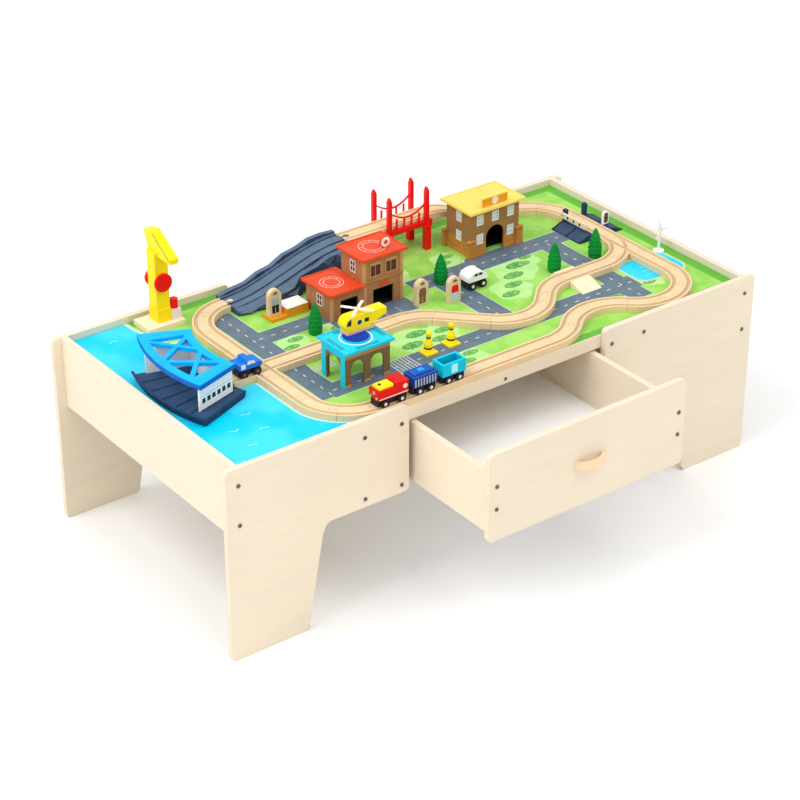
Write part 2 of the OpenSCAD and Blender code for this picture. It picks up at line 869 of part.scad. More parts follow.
// The crossing on the left line and the switch on the right line
module junction_tracks() {
  color("Wheat") {
    on_board([left_line, crossing_spot]) difference() {
      union() {
        translate([0, -crossing_reach + track_gap / 2, 0]) rotate(90)
          along(2 * crossing_reach - track_gap) bar_section();
        translate([-ferry_arm, 0, 0]) along(ferry_arm + crossing_reach - track_gap / 2) bar_section();
        translate([0, crossing_reach, 0]) rotate(-90) peg();
      }
      translate([0, -crossing_reach - overrun, 0]) rotate(90)
        along(2 * crossing_reach + peg_reach + peg_radius + 2 * overrun) groove_section();
      translate([-ferry_arm - overrun, 0, 0])
        along(ferry_arm + crossing_reach + 2 * overrun) groove_section();
      translate([0, -crossing_reach, 0]) rotate(-90) socket();
      translate([crossing_reach, 0, 0]) socket();
    }
    on_board([right_line, branch_exit_y]) difference() {
      union() {
        rotate(90) translate([track_gap / 2, 0, 0]) along(curve_radius - track_gap) bar_section();
        rotate(90) peg();
        translate([-curve_radius, 0, 0]) intersection() {
          around(curve_radius, 2 * turn - track_gap / curve_radius * 90 / PI) bar_section();
          translate([0, curve_radius, -overrun])
            rotate(lead_turn - 90 + track_gap / curve_radius * 90 / PI)
            cube([2 * curve_radius, 2 * curve_radius, track_height + 2 * overrun]);
        }
        translate([curve_radius * (sin(lead_turn) - 1), curve_radius * (1 - cos(lead_turn)), 0])
          rotate(lead_turn) peg();
      }
      rotate(90) translate([-peg_reach - peg_radius - overrun, 0, 0])
        along(curve_radius + peg_reach + peg_radius + 2 * overrun) groove_section();
      translate([-curve_radius, 0, 0]) around(curve_radius, 2 * turn) groove_section();
      translate([0, curve_radius, 0]) rotate(90) socket();
    }
  }
}

// Line of a ramp that climbs along +X to a flat landing
function ramp_line(length, lift) = concat(
  [for (step = [0 : slope_steps]) [
    (length - ledge_length) * step / slope_steps, track_rise * (1 - cos(180 * step / slope_steps)) / 2 + lift
  ]], [[length, track_rise + lift]]);

module ramp_outline(length, low, high) {
  under = ramp_line(length, low);
  polygon(concat(ramp_line(length, high), [for (index = [len(under) - 1 : -1 : 0]) under[index]]));
}

module ramp_grooves(length) {
  for (side = [-1, 1])
    translate([0, side * groove_gauge / 2 + groove_width / 2, 0]) rotate([90, 0, 0])
      linear_extrude(groove_width)
        ramp_outline(length, track_height - groove_depth, track_height + 2 * overrun);
}

module high_tracks() {
  color("Wheat") {
    on_board([bridge_start, back_line]) translate([0, 0, track_rise]) rotate(180)
      straight_track(high_length);
    on_board([bridge_start + bridge_length, back_line]) translate([0, 0, track_rise]) rotate(180)
      straight_track(bridge_length);
    on_board([line_end_x, back_line]) rotate(180) difference() {
      union() {
        translate([track_gap / 2, track_width / 2, 0]) rotate([90, 0, 0])
          linear_extrude(track_width) ramp_outline(descent_length - track_gap, 0, track_height);
        peg();
      }
      translate([track_gap / 2, 0, 0]) ramp_grooves(descent_length - track_gap);
      translate([descent_length, 0, track_rise]) socket();
    }
  }
}

// Jagged rock face along +X
module rock_outline(run, heights) {
  last = len(heights) - 1;
  polygon(concat([[0, 0]], [for (index = [0 : last]) [run * index / last, heights[index] * high_top]],
    [[run, 0]]));
}

module mountain_ramp() {
  back_rock_shares = [0.20, 0.30, 0.34, 0.53, 0.61, 0.83, 0.91, 1.06, 1.09, 1.06];
  front_rock_shares = [0.16, 0.17, 0.25, 0.35, 0.46, 0.62, 0.71, 0.88, 0.92, 0.96];
  cave_spot_share = 0.62;
  cave_radius_share = 0.30;
  length = mountain_length - track_gap;
  color("SlateGray") on_board([line_start_x + track_gap / 2, back_line])
    difference() {
      union() {
        translate([0, track_width / 2 + rock_width, 0]) rotate([90, 0, 0])
          linear_extrude(mountain_width)
            polygon(concat([[length, 0], [0, 0]], ramp_line(length, track_height)));
        translate([0, track_width / 2 + rock_width, 0]) rotate([90, 0, 0])
          linear_extrude(rock_width - overrun)
            rock_outline(length, back_rock_shares);
        translate([0, -track_width / 2 - overrun, 0]) rotate([90, 0, 0])
          linear_extrude(rock_width * 2) rock_outline(length, front_rock_shares);
        translate([length - ledge_length, -track_width / 2, 0])
          cube([2 * ledge_length, track_width, track_rise]);
        translate([length + track_gap / 2, 0, track_rise]) rotate(180) peg();
      }
      ramp_grooves(length);
      translate([mountain_length * cave_spot_share, -track_width / 2, 0]) rotate([90, 0, 0])
        cylinder(h = rock_width * 3, r = high_top * cave_radius_share);
      translate([-track_gap / 2, 0, 0]) rotate(180) socket();
    }
}

// Red suspension bridge

module post_outline() {
  tip_share = 0.93;
  polygon([
    [-post_width / 2, 0], [post_width / 2, 0], [post_width / 2, post_height * tip_share],
    [0, post_height], [-post_width / 2, post_height * tip_share]
  ]);
}

module cable_outline(span) {
  function hang(share) = cable_sag_height
    + (cable_top_height - cable_sag_height) * (2 * share - 1) * (2 * share - 1);
  polygon([
    for (step = [0 : slope_steps]) [span * step / slope_steps, hang(step / slope_steps)],
    for (step = [slope_steps : -1 : 0])
      [span * step / slope_steps, hang(step / slope_steps) - cable_width]
  ]);
}

module bridge_frame() {
  span = bridge_length - post_width;
  hanger_shares = [0.2, 0.4, 0.6, 0.8];
  brace = track_rise / 3;
  side_y = post_y + post_width / 2;
  color("Red") on_board([bridge_mid, back_line]) {
    for (side = [-1, 1]) {
      for (end = [-1, 1]) {
        translate([end * span / 2, side * post_y + post_width / 2, 0]) rotate([90, 0, 0])
          linear_extrude(post_width) post_outline();
        translate([end * span / 2, side * (post_y + (leg_width - post_width) / 2), 0])
          block([leg_width, leg_width, track_rise - deck_thickness]);
      }
      translate([-span / 2, side * post_y + cable_width / 2, track_rise]) rotate([90, 0, 0])
        linear_extrude(cable_width) cable_outline(span);
      for (share = hanger_shares)
        translate([span * (share - 0.5), side * post_y, track_rise - deck_thickness])
          block([cable_width, cable_width, deck_thickness + cable_sag_height]);
      translate([0, side * post_y, track_rise - deck_thickness])
        block([bridge_length + 2 * ledge_length, post_width, 2 * deck_thickness]);
    }
    translate([0, 0, track_rise - deck_thickness])
      block([bridge_length + 2 * ledge_length, 2 * side_y, deck_thickness]);
    for (end = [0, 1], side = [-1, 1])
      mirror([end, 0, 0])
        translate([span / 2, side * post_y + post_width / 2, track_rise - deck_thickness])
          rotate([90, 0, 0]) linear_extrude(post_width)
            polygon([[0, hair], [ledge_length + post_width / 2, hair], [0, -brace]]);
  }
}

// Level crossing on the right line

module ramp_wedge(length, width, height) {
  rotate([90, 0, 90]) translate([0, 0, -width / 2]) linear_extrude(width)
    polygon([[0, 0], [length, 0], [length, height], [length - height / 2, height]]);
}

module level_crossing() {
  post_x = ramp_edge + gate_post_width / 2;
  signal_share = 0.24;
  color("DimGray") on_board([right_line, gate_mid_y]) {
    for (side = [0, 1])
      mirror([side, 0, 0])
        translate([-ramp_edge - ramp_length - gate_post_width, 0, 0]) rotate(-90)
          ramp_wedge(ramp_length + gate_post_width, crossing_length, track_height);
    for (side = [-1, 1])
      translate([side * post_x, (crossing_length - gate_post_width) / 2, 0])
        block([gate_post_width, gate_post_width, track_height + gate_post_height]);
  }
  color("White")
    on_board([right_line + ramp_edge + signal_width / 2, gate_mid_y - crossing_length * signal_share])
      translate([0, gate_thickness / 2, 0]) rotate([90, 0, 0]) linear_extrude(gate_thickness) {
        translate([-signal_width / 2, 0])
          square([signal_width, track_height + signal_height - signal_width / 2]);
        translate([0, track_height + signal_height - signal_width / 2]) circle(signal_width / 2);
      }
  color("DimGray") on_board([gate_post_x - gate_pin_length, gate_hinge_y])
    translate([0, 0, gate_hinge_z]) rotate([0, 90, 0])
      cylinder(h = gate_pin_length + overrun, r = gate_pin_radius, $fn = 24);
}

module crossing_gate() {
  color("Wheat") on_board([gate_arm_x, gate_hinge_y])
    translate([0, 0, gate_hinge_z]) difference() {
      rotate([90, 0, 90]) linear_extrude(gate_thickness) {
        circle(gate_height / 2);
        translate([-gate_length, -gate_height / 2]) square([gate_length, gate_height]);
      }
      translate([-overrun, 0, 0]) rotate([0, 90, 0])
        cylinder(h = gate_thickness + 2 * overrun, r = gate_pin_radius + axle_clearance, $fn = 24);
    }
}

module road_ramps() {
  color("Wheat") on_board([flat_x + road_ramp_width / 2 + seat_gap, branch_exit_y]) {
    translate([0, -ramp_edge - road_ramp_length, 0])
      ramp_wedge(road_ramp_length, road_ramp_width, track_height);
    mirror([0, 1, 0]) translate([0, -ramp_edge - back_ramp_length, 0])
      ramp_wedge(back_ramp_length, road_ramp_width, track_height);
  }
}

// Buildings: a room open below, with its left front corner at the origin

module room(width, depth, height) {
  difference() {
    cube([width, depth, height]);
    translate([wall, wall, -overrun]) cube([width - 2 * wall, depth - 2 * wall, height - wall + overrun]);
  }
}

module front_opening(spot, rise, width, height) {
  translate([spot - width / 2, -overrun, rise]) cube([width, wall + 2 * overrun, height]);
}

module roof_slab(width, depth, side, front) {
  translate([-side, -front, 0]) cube([width + 2 * side, depth + 2 * front, roof_thickness]);
}

module fire_station_walls() {
  window_rise_share = 0.62;
  ledge_share = 0.53;
  window_spot_shares = [0.3, 0.7];
  window_size_shares = [1.5, 1.4];
  side_garage_shares = [0.55, 0.85];
  side_window_shares = [0.3, 0.45, 1.6];
  color("Peru") on_board([fire_x, fire_y]) {
    difference() {
      union() {
        room(fire_high_width, fire_high_depth, fire_high_height);
        translate([0, -wall / 2, fire_high_height * ledge_share]) cube([fire_high_width, wall, wall]);
      }
      front_opening(fire_high_width / 2, -overrun, garage_width, garage_height + overrun);
      for (share = window_spot_shares)
        front_opening(fire_high_width * share, fire_high_height * window_rise_share,
          window_width * window_size_shares[0], window_height * window_size_shares[1]);
    }
    translate([-fire_low_width - hair, 0, 0]) difference() {
      room(fire_low_width, fire_low_depth, fire_low_height);
      front_opening(fire_low_width * side_garage_shares[0], -overrun,
        garage_width * side_garage_shares[1], garage_height + overrun);
      translate([-overrun, fire_low_depth * side_window_shares[0], fire_low_height * side_window_shares[1]])
        cube([overrun + window_depth, window_width * side_window_shares[2], window_height]);
    }
  }
}

module fire_station_roofs() {
  horn_radius_share = 0.7;
  horn_share = [0.7, 0.3];
  horn_radius = window_width * horn_radius_share;
  color("Tomato") on_board([fire_x, fire_y]) {
    translate([0, 0, fire_high_height]) roof_slab(fire_high_width, fire_high_depth, overhang, overhang);
    translate([-fire_low_width - overhang - hair, -overhang, fire_low_height])
      cube([fire_low_width + overhang, fire_low_depth + 2 * overhang, roof_thickness]);
    translate([fire_high_width * horn_share[0], fire_high_depth * horn_share[1],
      fire_high_height + roof_thickness + horn_radius - hair])
      rotate([90, 0, 0]) cylinder(h = wall, r = horn_radius);
  }
}

module hall_window(share, rise) {
  translate([hall_width * share - window_width / 2, -overrun, hall_height * rise])
    cube([window_width, overrun + window_depth, window_height]);
}

module town_hall_walls() {
  window_shares = [0.18, 0.5, 0.82];
  upper_share = 0.69;
  lower_share = 0.265;
  buttress_share = 0.39;
  side_share = 0.4;
  color("SaddleBrown") on_board([hall_x - hall_width / 2, hall_y - hall_depth / 2])
    difference() {
      union() {
        room(hall_width, hall_depth, hall_height);
        for (side_x = [0, hall_width], side_y = [0, hall_depth])
          translate([side_x, side_y, 0]) block([4 * wall, 2 * wall, hall_height * buttress_share]);
      }
      front_opening(hall_width / 2, -overrun, hall_gate_width, hall_gate_height + overrun);
      translate([hall_width / 2, wall + overrun, hall_gate_height]) rotate([90, 0, 0])
        cylinder(h = wall + 2 * overrun, r = hall_gate_width / 2);
      for (share = window_shares)
        hall_window(share, upper_share);
      for (share = [window_shares[0], window_shares[2]])
        hall_window(share, lower_share);
      for (rise = [lower_share, upper_share])
        translate([-overrun, hall_depth * side_share, hall_height * rise])
          cube([overrun + window_depth, window_width, window_height]);
    }
}

module town_hall_roof() {
  sign_width_share = 0.55;
  sign_height_share = 0.9;
  color("Gold") on_board([hall_x - hall_width / 2, hall_y - hall_depth / 2])
    translate([0, 0, hall_height]) {
      roof_slab(hall_width, hall_depth, wide_overhang, wide_overhang);
      translate([hall_width / 2, overhang, roof_thickness - hair]) rotate([90, 0, 0])
        translate([-hall_width * sign_width_share / 2, 0, 0])
          cube([hall_width * sign_width_share, window_height * sign_height_share, wall]);
    }
}

// Heliport: arched sides and arcade walls

module arch_gap(width, rise) {
  translate([-width / 2, -overrun]) square([width, rise - width / 2 + overrun]);
  translate([0, rise - width / 2]) circle(width / 2);
}

module heliport_walls() {
  arcade_share = 0.72;
  side_share = 0.8;
  arch_width = (port_width - 3 * port_post) / 2;
  side_gap_width = port_depth - 2 * port_post;
  color("SaddleBrown") on_board([port_x, port_y]) {
    for (side = [0, 1])
      mirror([0, side, 0])
        translate([0, -port_depth / 2 + wall, 0]) rotate([90, 0, 0]) linear_extrude(wall)
          difference() {
            translate([-port_width / 2, 0]) square([port_width, port_height]);
            for (step = [-1, 1])
              translate([step * (arch_width + port_post) / 2, 0])
                arch_gap(arch_width, port_height * arcade_share);
          }
    for (side = [0, 1])
      mirror([side, 0, 0])
        translate([-port_width / 2, 0, 0]) rotate([90, 0, 90]) linear_extrude(wall)
          difference() {
            translate([-port_depth / 2, 0]) square([port_depth, port_height]);
            arch_gap(side_gap_width, port_height * side_share);
          }
  }
}

module heliport_roof() {
  color("Turquoise") on_board([port_x, port_y]) translate([0, 0, port_height]) {
    translate([-port_width / 2, -port_depth / 2, 0]) roof_slab(port_width, port_depth, wall, wide_overhang);
    translate([0, 0, roof_thickness - hair]) cylinder(h = pad_thickness + hair, r = pad_radius);
  }
}

module helicopter_outline() {
  nose = heli_height / 2;
  belly_share = 0.05;
  tail_share = 0.42;
  tail_rise_share = 0.55;
  translate([-heli_length / 2 + nose, heli_height / 2]) circle(nose);
  polygon([
    [-heli_length / 2 + nose, 0], [heli_length * belly_share, 0],
    [heli_length / 2, heli_height * tail_rise_share],
    [heli_length / 2, heli_height * (tail_rise_share + tail_share)],
    [0, heli_height], [-heli_length / 2 + nose, heli_height]
  ]);
}

module helicopter_body() {
  plank_share = 0.66;
  color("Gold") on_board([heli_x, heli_y]) {
    translate([0, heli_width / 2, heli_belly]) rotate([90, 0, 0])
      linear_extrude(heli_width) helicopter_outline();
    translate([-heli_length * hub_share, 0, pad_top])
      block([heli_length * plank_share, heli_width, heli_belly - pad_top + hair]);
    translate([-heli_length * hub_share, 0, heli_roof - hair])
      cylinder(h = rotor_z - heli_roof + hair, r = blade_width / 2, $fn = 24);
    translate([-heli_length * hub_share, 0, rotor_z - hair])
      cylinder(h = 2 * blade_thickness, r = rotor_pin_radius, $fn = 24);
  }
}

module helicopter_rotor() {
  rotor_start_turn = 37;
  color("White") on_board([hub_x, heli_y]) translate([0, 0, rotor_z + seat_gap])
    rotate(rotor_start_turn) difference() {
      union() {
        block([2 * heli_rotor_radius, blade_width, blade_thickness]);
        block([blade_width, 2 * heli_rotor_radius, blade_thickness]);
        cylinder(h = blade_thickness, r = blade_width, $fn = 32);
      }
      translate([0, 0, -overrun])
        cylinder(h = blade_thickness + 2 * overrun, r = rotor_pin_radius + axle_clearance, $fn = 24);
    }
}

// Ferry: hull, walls and roof are parts of one ring

module ring_part(half_angle) {
  rotate(180 - half_angle) rotate_extrude(angle = 2 * half_angle, $fn = 180) children();
}

module ferry_hull() {
  color("MidnightBlue") on_board([ferry_x, ferry_y]) rotate(hull_turn) ring_part(hull_half_angle)
    polygon([
      [ferry_inner_radius + hull_flare, 0], [ferry_outer_radius - hull_flare, 0],
      [ferry_outer_radius, hull_height], [ferry_outer_radius - bulwark, hull_height],
      [ferry_outer_radius - bulwark, deck_height], [ferry_inner_radius, deck_height]
    ]);
}

module radial_wall(angle, inner, outer, height) {
  rotate(180 + angle) translate([inner, -wall / 2, 0]) cube([outer - inner, wall, height]);
}

module ferry_walls() {
  inner = roof_inner_radius + wall;
  outer = roof_outer_radius - wall;
  color("White") on_board([ferry_x, ferry_y]) translate([0, 0, deck_height]) rotate(wall_turn) {
    for (side = [-1, 1])
      radial_wall(side * wall_half_angle, inner, outer, ferry_height - deck_height);
    ring_part(wall_half_angle) translate([inner, 0]) square([wall, ferry_height - deck_height]);
  }
}

module roof_bar_between(first, second) {
  run = second - first;
  translate(first) rotate(atan2(run[1], run[0])) translate([0, -roof_bar / 2, 0])
    cube([norm(run), roof_bar, ferry_roof_thickness]);
}

module ferry_roof() {
  band_share = 1.9;
  opening_share = 0.75;
  band = roof_bar * band_share;
  open_inner = roof_inner_radius + band;
  open_outer = roof_outer_radius - band;
  open_half_angle = roof_half_angle * opening_share;
  function spot(radius, angle) = [radius * cos(180 + angle), radius * sin(180 + angle), 0];
  color("DodgerBlue") on_board([ferry_x, ferry_y]) translate([0, 0, ferry_height]) rotate(roof_turn) {
    difference() {
      ring_part(roof_half_angle)
        translate([roof_inner_radius, 0])
          square([roof_outer_radius - roof_inner_radius, ferry_roof_thickness]);
      ring_part(open_half_angle)
        translate([open_inner, -overrun])
          square([open_outer - open_inner, ferry_roof_thickness + 2 * overrun]);
    }
    for (half = [-1, 1]) {
      roof_bar_between(spot(open_inner - roof_bar, 0), spot(open_outer + roof_bar, half * open_half_angle));
      roof_bar_between(spot(open_outer + roof_bar, 0), spot(open_inner - roof_bar, half * open_half_angle));
    }
  }
}

// Crane with a jib over the front

module crane_base() {
  base_shift_share = 0.05;
  color("Wheat") on_board([crane_x, crane_y])
    translate([-crane_base_width * base_shift_share, -crane_base_depth * base_shift_share, 0])
      block([crane_base_width, crane_base_depth, crane_base_height]);
}

module jib_outline() {
  under_share = 0.755;
  back_share = 0.965;
  tip_share = 0.805;
  polygon([
    [crane_face, crane_height * under_share], [crane_width, crane_height * back_share],
    [0, crane_height], [-crane_face - jib_reach, crane_height * tip_share],
    [-crane_face - jib_reach, crane_height * under_share]
  ]);
}

module crane_tower() {
  foot_shares = [1.2, 0.13];
  neck_share = 0.79;
  color("Gold") on_board([crane_x, crane_y]) difference() {
    union() {
      translate([0, 0, crane_base_height]) {
        block([crane_width, crane_width * foot_shares[0], crane_height * foot_shares[1]]);
        block([crane_width, crane_width, crane_height * neck_share - crane_base_height]);
      }
      translate([-jib_width / 2, 0, 0]) rotate([90, 0, 90]) linear_extrude(jib_width) jib_outline();
    }
    translate([0, crane_width, winch_spot]) rotate([90, 0, 0])
      cylinder(h = 2 * crane_width, r = winch_shaft_radius + axle_clearance, $fn = 32);
  }
}

module crane_winch() {
  color("Red") on_board([crane_x, crane_y]) translate([0, 0, winch_spot]) rotate([90, 0, 0]) {
    for (side = [0, 1])
      mirror([0, 0, side]) translate([0, 0, crane_face + seat_gap])
        cylinder(h = winch_thickness, r = winch_radius);
    translate([0, 0, -crane_face - seat_gap - overrun])
      cylinder(h = crane_width + 2 * (seat_gap + overrun), r = winch_shaft_radius, $fn = 32);
  }
}

module crane_load() {
  load_x = crane_face + seat_gap * 2 + load_size / 2;
  load_y = -load_size / 2;
  color("Red") on_board([crane_x + load_x, crane_y + load_y]) translate([0, 0, crane_base_height]) {
    block([load_size, load_size, load_size]);
    translate([0, 0, load_size]) cylinder(h = barrel_height, r = barrel_radius);
  }
}

// Scenery

module turned(radius, height, width_shares, rise_shares) {
  rotate_extrude() polygon(concat(
    [[0, 0]],
    [for (index = [0 : len(rise_shares) - 1]) [radius * width_shares[index], height * rise_shares[index]]]
  ));
}

module trees() {
  width_shares = [0.8, 1, 0.82, 0.5, 0.18, 0];
  rise_shares = [0, 0.2, 0.5, 0.8, 0.98, 1];
  color("DarkGreen")
    for (share = tree_shares)
      on_board([board_half_x * share[0], board_half_y * share[1]])
        turned(tree_radius, tree_height, width_shares, rise_shares);
}

module figure() {
  rotate([90, 0, 0]) linear_extrude(figure_thickness) {
    translate([-figure_width / 2, 0]) square([figure_width, figure_height - figure_width / 2]);
    translate([0, figure_height - figure_width / 2]) circle(figure_width / 2);
  }
}

module figures() {
  edge_share = 0.6;
  color("Wheat") {
    for (share = figure_shares)
      on_board([board_half_x * share[0], board_half_y * share[1]]) figure();
    on_board(platform_spot) translate([-platform_length / 2 + figure_width * edge_share, figure_thickness / 2,
      step_height]) figure();
  }
}

module traffic_cones() {
  foot_share = 0.08;
  base_share = 2.9;
  top_share = 0.6;
  width_shares = [1.4, 1.15, 0.85, 0.85, 0.95, 0.85, 0.45, 0.45, 0];
  rise_shares = [0, 0.1, 0.22, 0.29, 0.31, 0.45, 0.63, 0.78, 0.8];
  top_radius = cone_radius * top_share;
  color("Gold")
    for (share = cone_shares)
      on_board([board_half_x * share[0], board_half_y * share[1]]) {
        block([cone_radius * base_share, cone_radius * base_share, cone_height * foot_share]);
        turned(cone_radius, cone_height, width_shares, rise_shares);
        translate([0, 0, cone_height - top_radius]) sphere(top_radius);
      }
}

module platform() {
  step_share = 1.25;
  step_length = figure_width * step_share;
  color("Orange") on_board(platform_spot) {
    translate([step_length / 2, 0, 0])
      block([platform_length - step_length, platform_depth, platform_height]);
    translate([-platform_length / 2 + step_length / 2, 0, 0])
      block([step_length, platform_depth, step_height]);
  }
}

// Wind turbine

module turbine_mast() {
  color("White") on_board([turbine_x, turbine_y]) {
    cylinder(h = turbine_mast_radius, r = turbine_foot_radius);
    cylinder(h = turbine_height, r = turbine_mast_radius, $fn = 32);
    translate([0, 0, turbine_height]) {
      block([2 * turbine_mast_radius, turbine_head_depth, 2 * turbine_mast_radius]);
      translate([0, -turbine_head_depth / 2 + overrun, turbine_mast_radius]) rotate([90, 0, 0])
        cylinder(h = 2 * turbine_mast_radius, r = turbine_pin_radius, $fn = 24);
    }
  }
}

module turbine_rotor() {
  depth_share = 0.7;
  hub_radius_share = 1.4;
  blade_depth = turbine_mast_radius * depth_share;
  root = turbine_mast_radius * head_share;
  tip = root / 2;
  rotor_start_turn = 25;
  color("White") on_board([turbine_x, turbine_y - turbine_head_depth / 2 - seat_gap])
    translate([0, 0, turbine_height + turbine_mast_radius]) rotate([90, 0, 0])
      rotate(rotor_start_turn) difference() {
        union() {
          cylinder(h = blade_depth, r = turbine_mast_radius * hub_radius_share, $fn = 32);
          for (index = [0 : 2])
            rotate(index * 120) linear_extrude(blade_depth)
              polygon([
                [-root, 0], [root, 0], [tip, turbine_rotor_radius], [-tip, turbine_rotor_radius]
              ]);
        }
        translate([0, 0, -overrun])
          cylinder(h = blade_depth + 2 * overrun, r = turbine_pin_radius + axle_clearance, $fn = 24);
      }
}

// Vehicles: each is drawn from its front end along +X, with its axles on Z = 0

module wheelset() {
  rotate([90, 0, 0]) {
    for (side = [-1, 1])
      translate([0, 0, side * groove_gauge / 2 - wheel_width / 2])
        cylinder(h = wheel_width, r = wheel_radius);
    translate([0, 0, -groove_gauge / 2]) cylinder(h = groove_gauge, r = axle_radius, $fn = 32);
  }
}

module chassis(length, inset = axle_inset) {
  difference() {
    translate([length / 2, 0, -chassis_drop]) block([length, chassis_width, body_rise + chassis_drop]);
    for (spot = [inset, length - inset])
      translate([spot, chassis_width, 0]) rotate([90, 0, 0])
        cylinder(h = 2 * chassis_width, r = axle_radius + axle_clearance, $fn = 32);
  }
}

module couplings(spots) {
  reach = coupling_gap / 2 - seat_gap;
  for (spot = spots)
    translate([spot - reach, 0, body_rise / 2]) rotate([0, 90, 0])
      cylinder(h = 2 * reach, r = coupling_radius, $fn = 32);
}

module side_shape(width) {
  translate([0, width / 2, body_rise]) rotate([90, 0, 0]) linear_extrude(width) children();
}

module engine_body() {
  hood_share = 0.72;
  cab_share = 0.58;
  tank_shares = [0.7, 0.66, 0.24];
  color("Red") on_board([engine_x, front_line]) translate([0, 0, rail_axle_z]) {
    chassis(engine_length);
    couplings([engine_length]);
    side_shape(vehicle_width) polygon([
      [0, 0], [engine_length, 0], [engine_length, engine_height],
      [engine_length * cab_share, engine_height],
      [engine_length * cab_share, engine_height * hood_share], [0, engine_height * hood_share]
    ]);
    translate([engine_length * cab_share / 2, 0, body_rise + engine_height * hood_share - hair])
      block([engine_length * cab_share * tank_shares[0], vehicle_width * tank_shares[1],
        engine_height * tank_shares[2]]);
  }
}

module box_wagon_body() {
  ridge_share = 0.82;
  ridge_size_shares = [0.86, 0.7];
  color("MediumBlue") on_board([box_wagon_x, front_line]) translate([0, 0, rail_axle_z]) {
    chassis(wagon_length);
    couplings([0, wagon_length]);
    side_shape(vehicle_width) square([wagon_length, wagon_height * ridge_share]);
    translate([wagon_length / 2, 0, body_rise + wagon_height * ridge_share - hair])
      block([wagon_length * ridge_size_shares[0], vehicle_width * ridge_size_shares[1],
        wagon_height * (1 - ridge_share)]);
  }
}

module open_wagon_body() {
  color("Turquoise") on_board([open_wagon_x, front_line]) translate([0, 0, rail_axle_z]) {
    chassis(wagon_length);
    couplings([0, wagon_length]);
    difference() {
      side_shape(vehicle_width) square([wagon_length, wagon_height]);
      translate([wagon_length / 2, 0, body_rise + wall])
        block([wagon_length - 2 * wall, vehicle_width - 2 * wall, wagon_height]);
    }
  }
}

module truck_body() {
  nose_share = 0.5;
  cowl_share = 0.58;
  deck_share = 0.66;
  length_shares = [0.3, 0.36, 0.6, 0.74];
  color("RoyalBlue") on_board([truck_x, branch_y]) translate([0, 0, rail_axle_z]) {
    chassis(truck_length, road_axle_inset);
    side_shape(vehicle_width) polygon([
      [0, 0], [truck_length, 0], [truck_length, truck_height * nose_share],
      [truck_length * length_shares[3], truck_height * cowl_share],
      [truck_length * length_shares[2], truck_height], [truck_length * length_shares[1], truck_height],
      [truck_length * length_shares[0], truck_height * deck_share], [0, truck_height * deck_share]
    ]);
  }
}

module car_body() {
  bumper_share = 0.3;
  color("White") on_board([car_x, car_y]) translate([0, 0, road_axle_z]) {
    chassis(car_length, road_axle_inset);
    side_shape(vehicle_width) polygon([
      for (step = [0 : slope_steps])
        [car_length * (1 - cos(180 * step / slope_steps)) / 2,
          car_height * (bumper_share + (1 - bumper_share) * sin(180 * step / slope_steps))],
      [car_length, 0], [0, 0]
    ]);
  }
}

module wheels_at(spot, z) {
  color("Black") on_board(spot) translate([0, 0, z]) wheelset();
}

module train_wheels(x) {
  wheels_at([x, front_line], rail_axle_z);
}

module engine_front_wheels() {
  train_wheels(engine_x + axle_inset);
}

module engine_rear_wheels() {
  train_wheels(engine_x + engine_length - axle_inset);
}

module box_wagon_front_wheels() {
  train_wheels(box_wagon_x + axle_inset);
}

module box_wagon_rear_wheels() {
  train_wheels(box_wagon_x + wagon_length - axle_inset);
}

module open_wagon_front_wheels() {
  train_wheels(open_wagon_x + axle_inset);
}

module open_wagon_rear_wheels() {
  train_wheels(open_wagon_x + wagon_length - axle_inset);
}

module truck_front_wheels() {
  wheels_at([truck_x + truck_length - road_axle_inset, branch_y], rail_axle_z);
}

module truck_rear_wheels() {
  wheels_at([truck_x + road_axle_inset, branch_y], rail_axle_z);
}

module car_front_wheels() {
  wheels_at([car_x + car_length - road_axle_inset, car_y], road_axle_z);
}

module car_rear_wheels() {
  wheels_at([car_x + road_axle_inset, car_y], road_axle_z);
}

front_left_leg();
front_right_leg();
back_left_leg();
back_right_leg();
end_panels();
cross_panels();
support_rails();
play_board();
frame_screws();
drawer_front();
drawer_sides();
drawer_back();
drawer_bottom();
drawer_handle();
drawer_screws();
straight_tracks();
curved_tracks();
junction_tracks();
high_tracks();
mountain_ramp();
bridge_frame();
level_crossing();
crossing_gate();
road_ramps();
fire_station_walls();
fire_station_roofs();
town_hall_walls();
town_hall_roof();
heliport_walls();
heliport_roof();
helicopter_body();
helicopter_rotor();
ferry_hull();
ferry_walls();
ferry_roof();
crane_base();
crane_tower();
crane_winch();
crane_load();
trees();
figures();
traffic_cones();
platform();
turbine_mast();
turbine_rotor();
engine_body();
engine_front_wheels();
engine_rear_wheels();
box_wagon_body();
box_wagon_front_wheels();
box_wagon_rear_wheels();
open_wagon_body();
open_wagon_front_wheels();
open_wagon_rear_wheels();
truck_body();
truck_front_wheels();
truck_rear_wheels();
car_body();
car_front_wheels();
car_rear_wheels();
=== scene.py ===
import math

